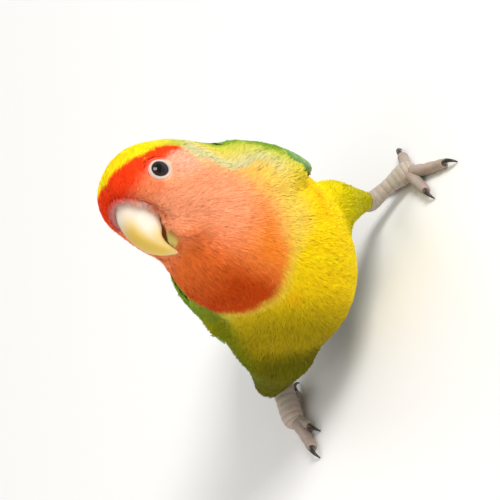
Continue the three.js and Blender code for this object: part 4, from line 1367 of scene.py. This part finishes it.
def wing(name, side):
    sheets = Sheets(12)
    wing_core(sheets, name, side)
    topmost = painted(GREEN * 0.9, DEEP_GREEN, 0.75, 0.3)
    primary = painted(DEEP_GREEN, PRIMARY_EDGE, 0.9, 0.5, BLACKISH)
    flight_feathers(sheets, side, PRIMARIES, primary, topmost)
    secondary = painted(GREEN * 0.85, DEEP_GREEN, 0.7, 0.35, BLACKISH)
    flight_feathers(sheets, side, SECONDARIES, secondary, topmost)
    covert = painted(GREEN, GREEN_EDGE, 0.55, 0.15)
    front = WING_FRONT[name]
    for count, place_y, length, lift, width in COVERT_TIERS:
        squeezed = lerp(front, COVERT_SPAN[1], (place_y - COVERT_SPAN[0]) / (COVERT_SPAN[1] - COVERT_SPAN[0]))
        for s in np.linspace(0, 1, count):
            y = squeezed + 3 * (1 - s) + DRAW.normal(0, 0.3)
            low, high = wing_span(side, max(y, front + 0.6))
            root = np.array([y, lerp(low + 4, high - 1, s) + DRAW.normal(0, 0.8)])
            tip = root + (length * (1 - 0.12 * s), 6 - 4 * s)
            if tip[1] < along(SCAPULAR_EDGE, tip[0]) + 4:
                wing_vane(sheets, side, root, tip, width, lift, 1.6, covert, 9, 0.1)
    sheets.finish(f"wing_{name}_feathers", "wing_" + name)


def tail_vane(sheets, place_x, level, start, reach, width, tilt, rise, paint, rows=18):
    share, over = vane_grid(rows, 7)
    t = lerp(start, reach, share)
    centre = TAIL["root"] + t[..., None] * np.subtract(TAIL["tip"], TAIL["root"])
    half = width / 2 * vane_outline(share, 1.9)
    x = place_x * lerp(0.5, 1, t) + over * half
    z = level + rise * (1 - share) - 0.1 * np.abs(place_x) - tilt * over * half - 0.04 * (over * half) ** 2
    top = centre + np.stack([x, 0 * x, z + shaft(over)], -1)
    sheets.add(top, top - (0, 0, VANE_THICKNESS), paint(share, over) * (1 + DRAW.normal(0, 0.04)))


def rump_covert(sheets, path, place_x, lift, width, paint):
    """A covert that follows the rump down onto the tail."""
    rows = 14
    share, over = vane_grid(rows, 7)
    x = place_x * lerp(1.15, 0.85, share) + over * width / 2 * vane_outline(share, 1.7)
    z = lift - x**2 * lerp(0.085, 0.03, share) + shaft(over, 0.1)
    top = curve(path, rows)[:, None] + np.stack([x, 0 * x, z], -1)
    sheets.add(top, top - (0, 0, VANE_THICKNESS), paint(share, over) * (1 + DRAW.normal(0, 0.05)))


def tail():
    sheets = Sheets(8)
    length = TAIL["tip"][1] - TAIL["root"][1]
    for i in range(TAIL_PAIRS, 0, -1):
        for side in (-1, 1):
            reach = 1 - 2.4 * i * (1 + 0.12 * i) / length
            tail_vane(sheets, side * i * 1.7, 0.9 - 0.16 * i, 0, reach, 5.6, side * 0.1, 0, tail_paint(i))
    for place_x, level, reach in ((0.5, 0.95, 0.985), (-0.3, 1.15, 1)):
        tail_vane(sheets, place_x, level, 0, reach, 6, 0, 0, tail_paint(0))
    upper = painted(TURQUOISE, TURQUOISE_EDGE, 0.6, 0.15)
    for row in range(4):
        for k in range(-3, 4):
            path = [(0, y - 3.2 * row - 0.35 * abs(k), height) for y, height in RUMP_PATH]
            rump_covert(sheets, path, k * (1.7 - 0.1 * row), 0.28 * row + 0.1, 4.4, upper)
    under = painted(UNDER_TAIL, UNDER_TAIL_EDGE, 0.5, 0.1)
    for row, rise in enumerate(UNDER_COVERT_RISES):
        for k in range(-2, 3):
            place_x, level = k * (1.9 - 0.2 * row), -0.7 + 0.2 * abs(k)
            reach = 0.56 - 0.13 * row - 0.03 * abs(k)
            tail_vane(sheets, place_x, level, -0.12, reach, 4.6, 0, rise, under, 12)
    sheets.finish("tail_feathers", "tail")


# Stage, lights and camera
def stage():
    mesh = bpy.data.meshes.new("floor")
    corners = [(x * FLOOR_HALF, y * FLOOR_HALF, 0) for x, y in ((-1, -1), (1, -1), (1, 1), (-1, 1))]
    mesh.from_pydata(corners, [], [(0, 1, 2, 3)])
    floor = bpy.data.objects.new("floor", mesh)
    bpy.context.scene.collection.objects.link(floor)
    material, _, shader = node_tree("floor_paper")
    set_inputs(shader, {"Base Color": (*rgb(243, 242, 240), 1), "Roughness": 0.9})
    mesh.materials.append(material)


def lights():
    world = bpy.data.worlds.new("studio")
    world.use_nodes = True
    set_inputs(world.node_tree.nodes["Background"], {"Color": WORLD_COLOUR, "Strength": WORLD_STRENGTH})
    bpy.context.scene.world = world
    for name, (spot, size, power) in LIGHTS.items():
        light = bpy.data.lights.new(name, "AREA")
        light.size = size
        light.energy = power
        back = unit(np.array(spot) - LIGHTS_AIM)
        across = unit(np.cross((0, 0, 1), back))
        put(bpy.data.objects.new(name, light), across, np.cross(back, across), back, spot)


def put(viewer, right, up, back, spot):
    """Links a lamp or camera, set by its own three directions and its place in metres."""
    turn = np.eye(4)
    turn[:3, 0], turn[:3, 1], turn[:3, 2], turn[:3, 3] = right, up, back, spot
    bpy.context.scene.collection.objects.link(viewer)
    viewer.matrix_world = Matrix(turn.tolist())


def camera():
    """The view of the photograph: a level camera's directions, turned as the picture is."""
    level_up = np.array([0, np.sin(CAMERA_TILT), np.cos(CAMERA_TILT)])
    back = np.array([0, -np.cos(CAMERA_TILT), np.sin(CAMERA_TILT)])
    level_right = np.array([1.0, 0, 0])
    right = unit(PICTURE_TURN[0] * level_right - PICTURE_TURN[1] * level_up)
    up = unit(PICTURE_TURN[1] * level_right + PICTURE_TURN[0] * level_up)
    offset = np.array(BODY_MIDDLE_PIXELS) / PIXELS_PER_MM
    aim = BODY_MIDDLE - offset[0] * right + offset[1] * up
    data = bpy.data.cameras.new("camera")
    data.sensor_fit = "HORIZONTAL"
    data.sensor_width = SENSOR_MM
    data.lens = PIXELS_PER_MM * CAMERA_DISTANCE / FRAME_PIXELS * SENSOR_MM
    data.clip_start = 0.05
    data.dof.use_dof = False
    viewer = bpy.data.objects.new("camera", data)
    put(viewer, right, up, back, place(aim + back * CAMERA_DISTANCE))
    bpy.context.scene.camera = viewer


# The bird, in the order that the random draws keep
skin_points, skin_quads = skin()
bill()
coat(skin_points, skin_quads)
bill_fringes(skin_points, skin_quads)
eyes()
for leg_name, leg_bones in LEGS.items():
    leg(leg_name, leg_bones)
for wing_name, wing_side in SIDES.items():
    wing(wing_name, wing_side)
tail()
stage()
lights()
camera()
bpy.context.scene.view_settings.view_transform = "Standard"
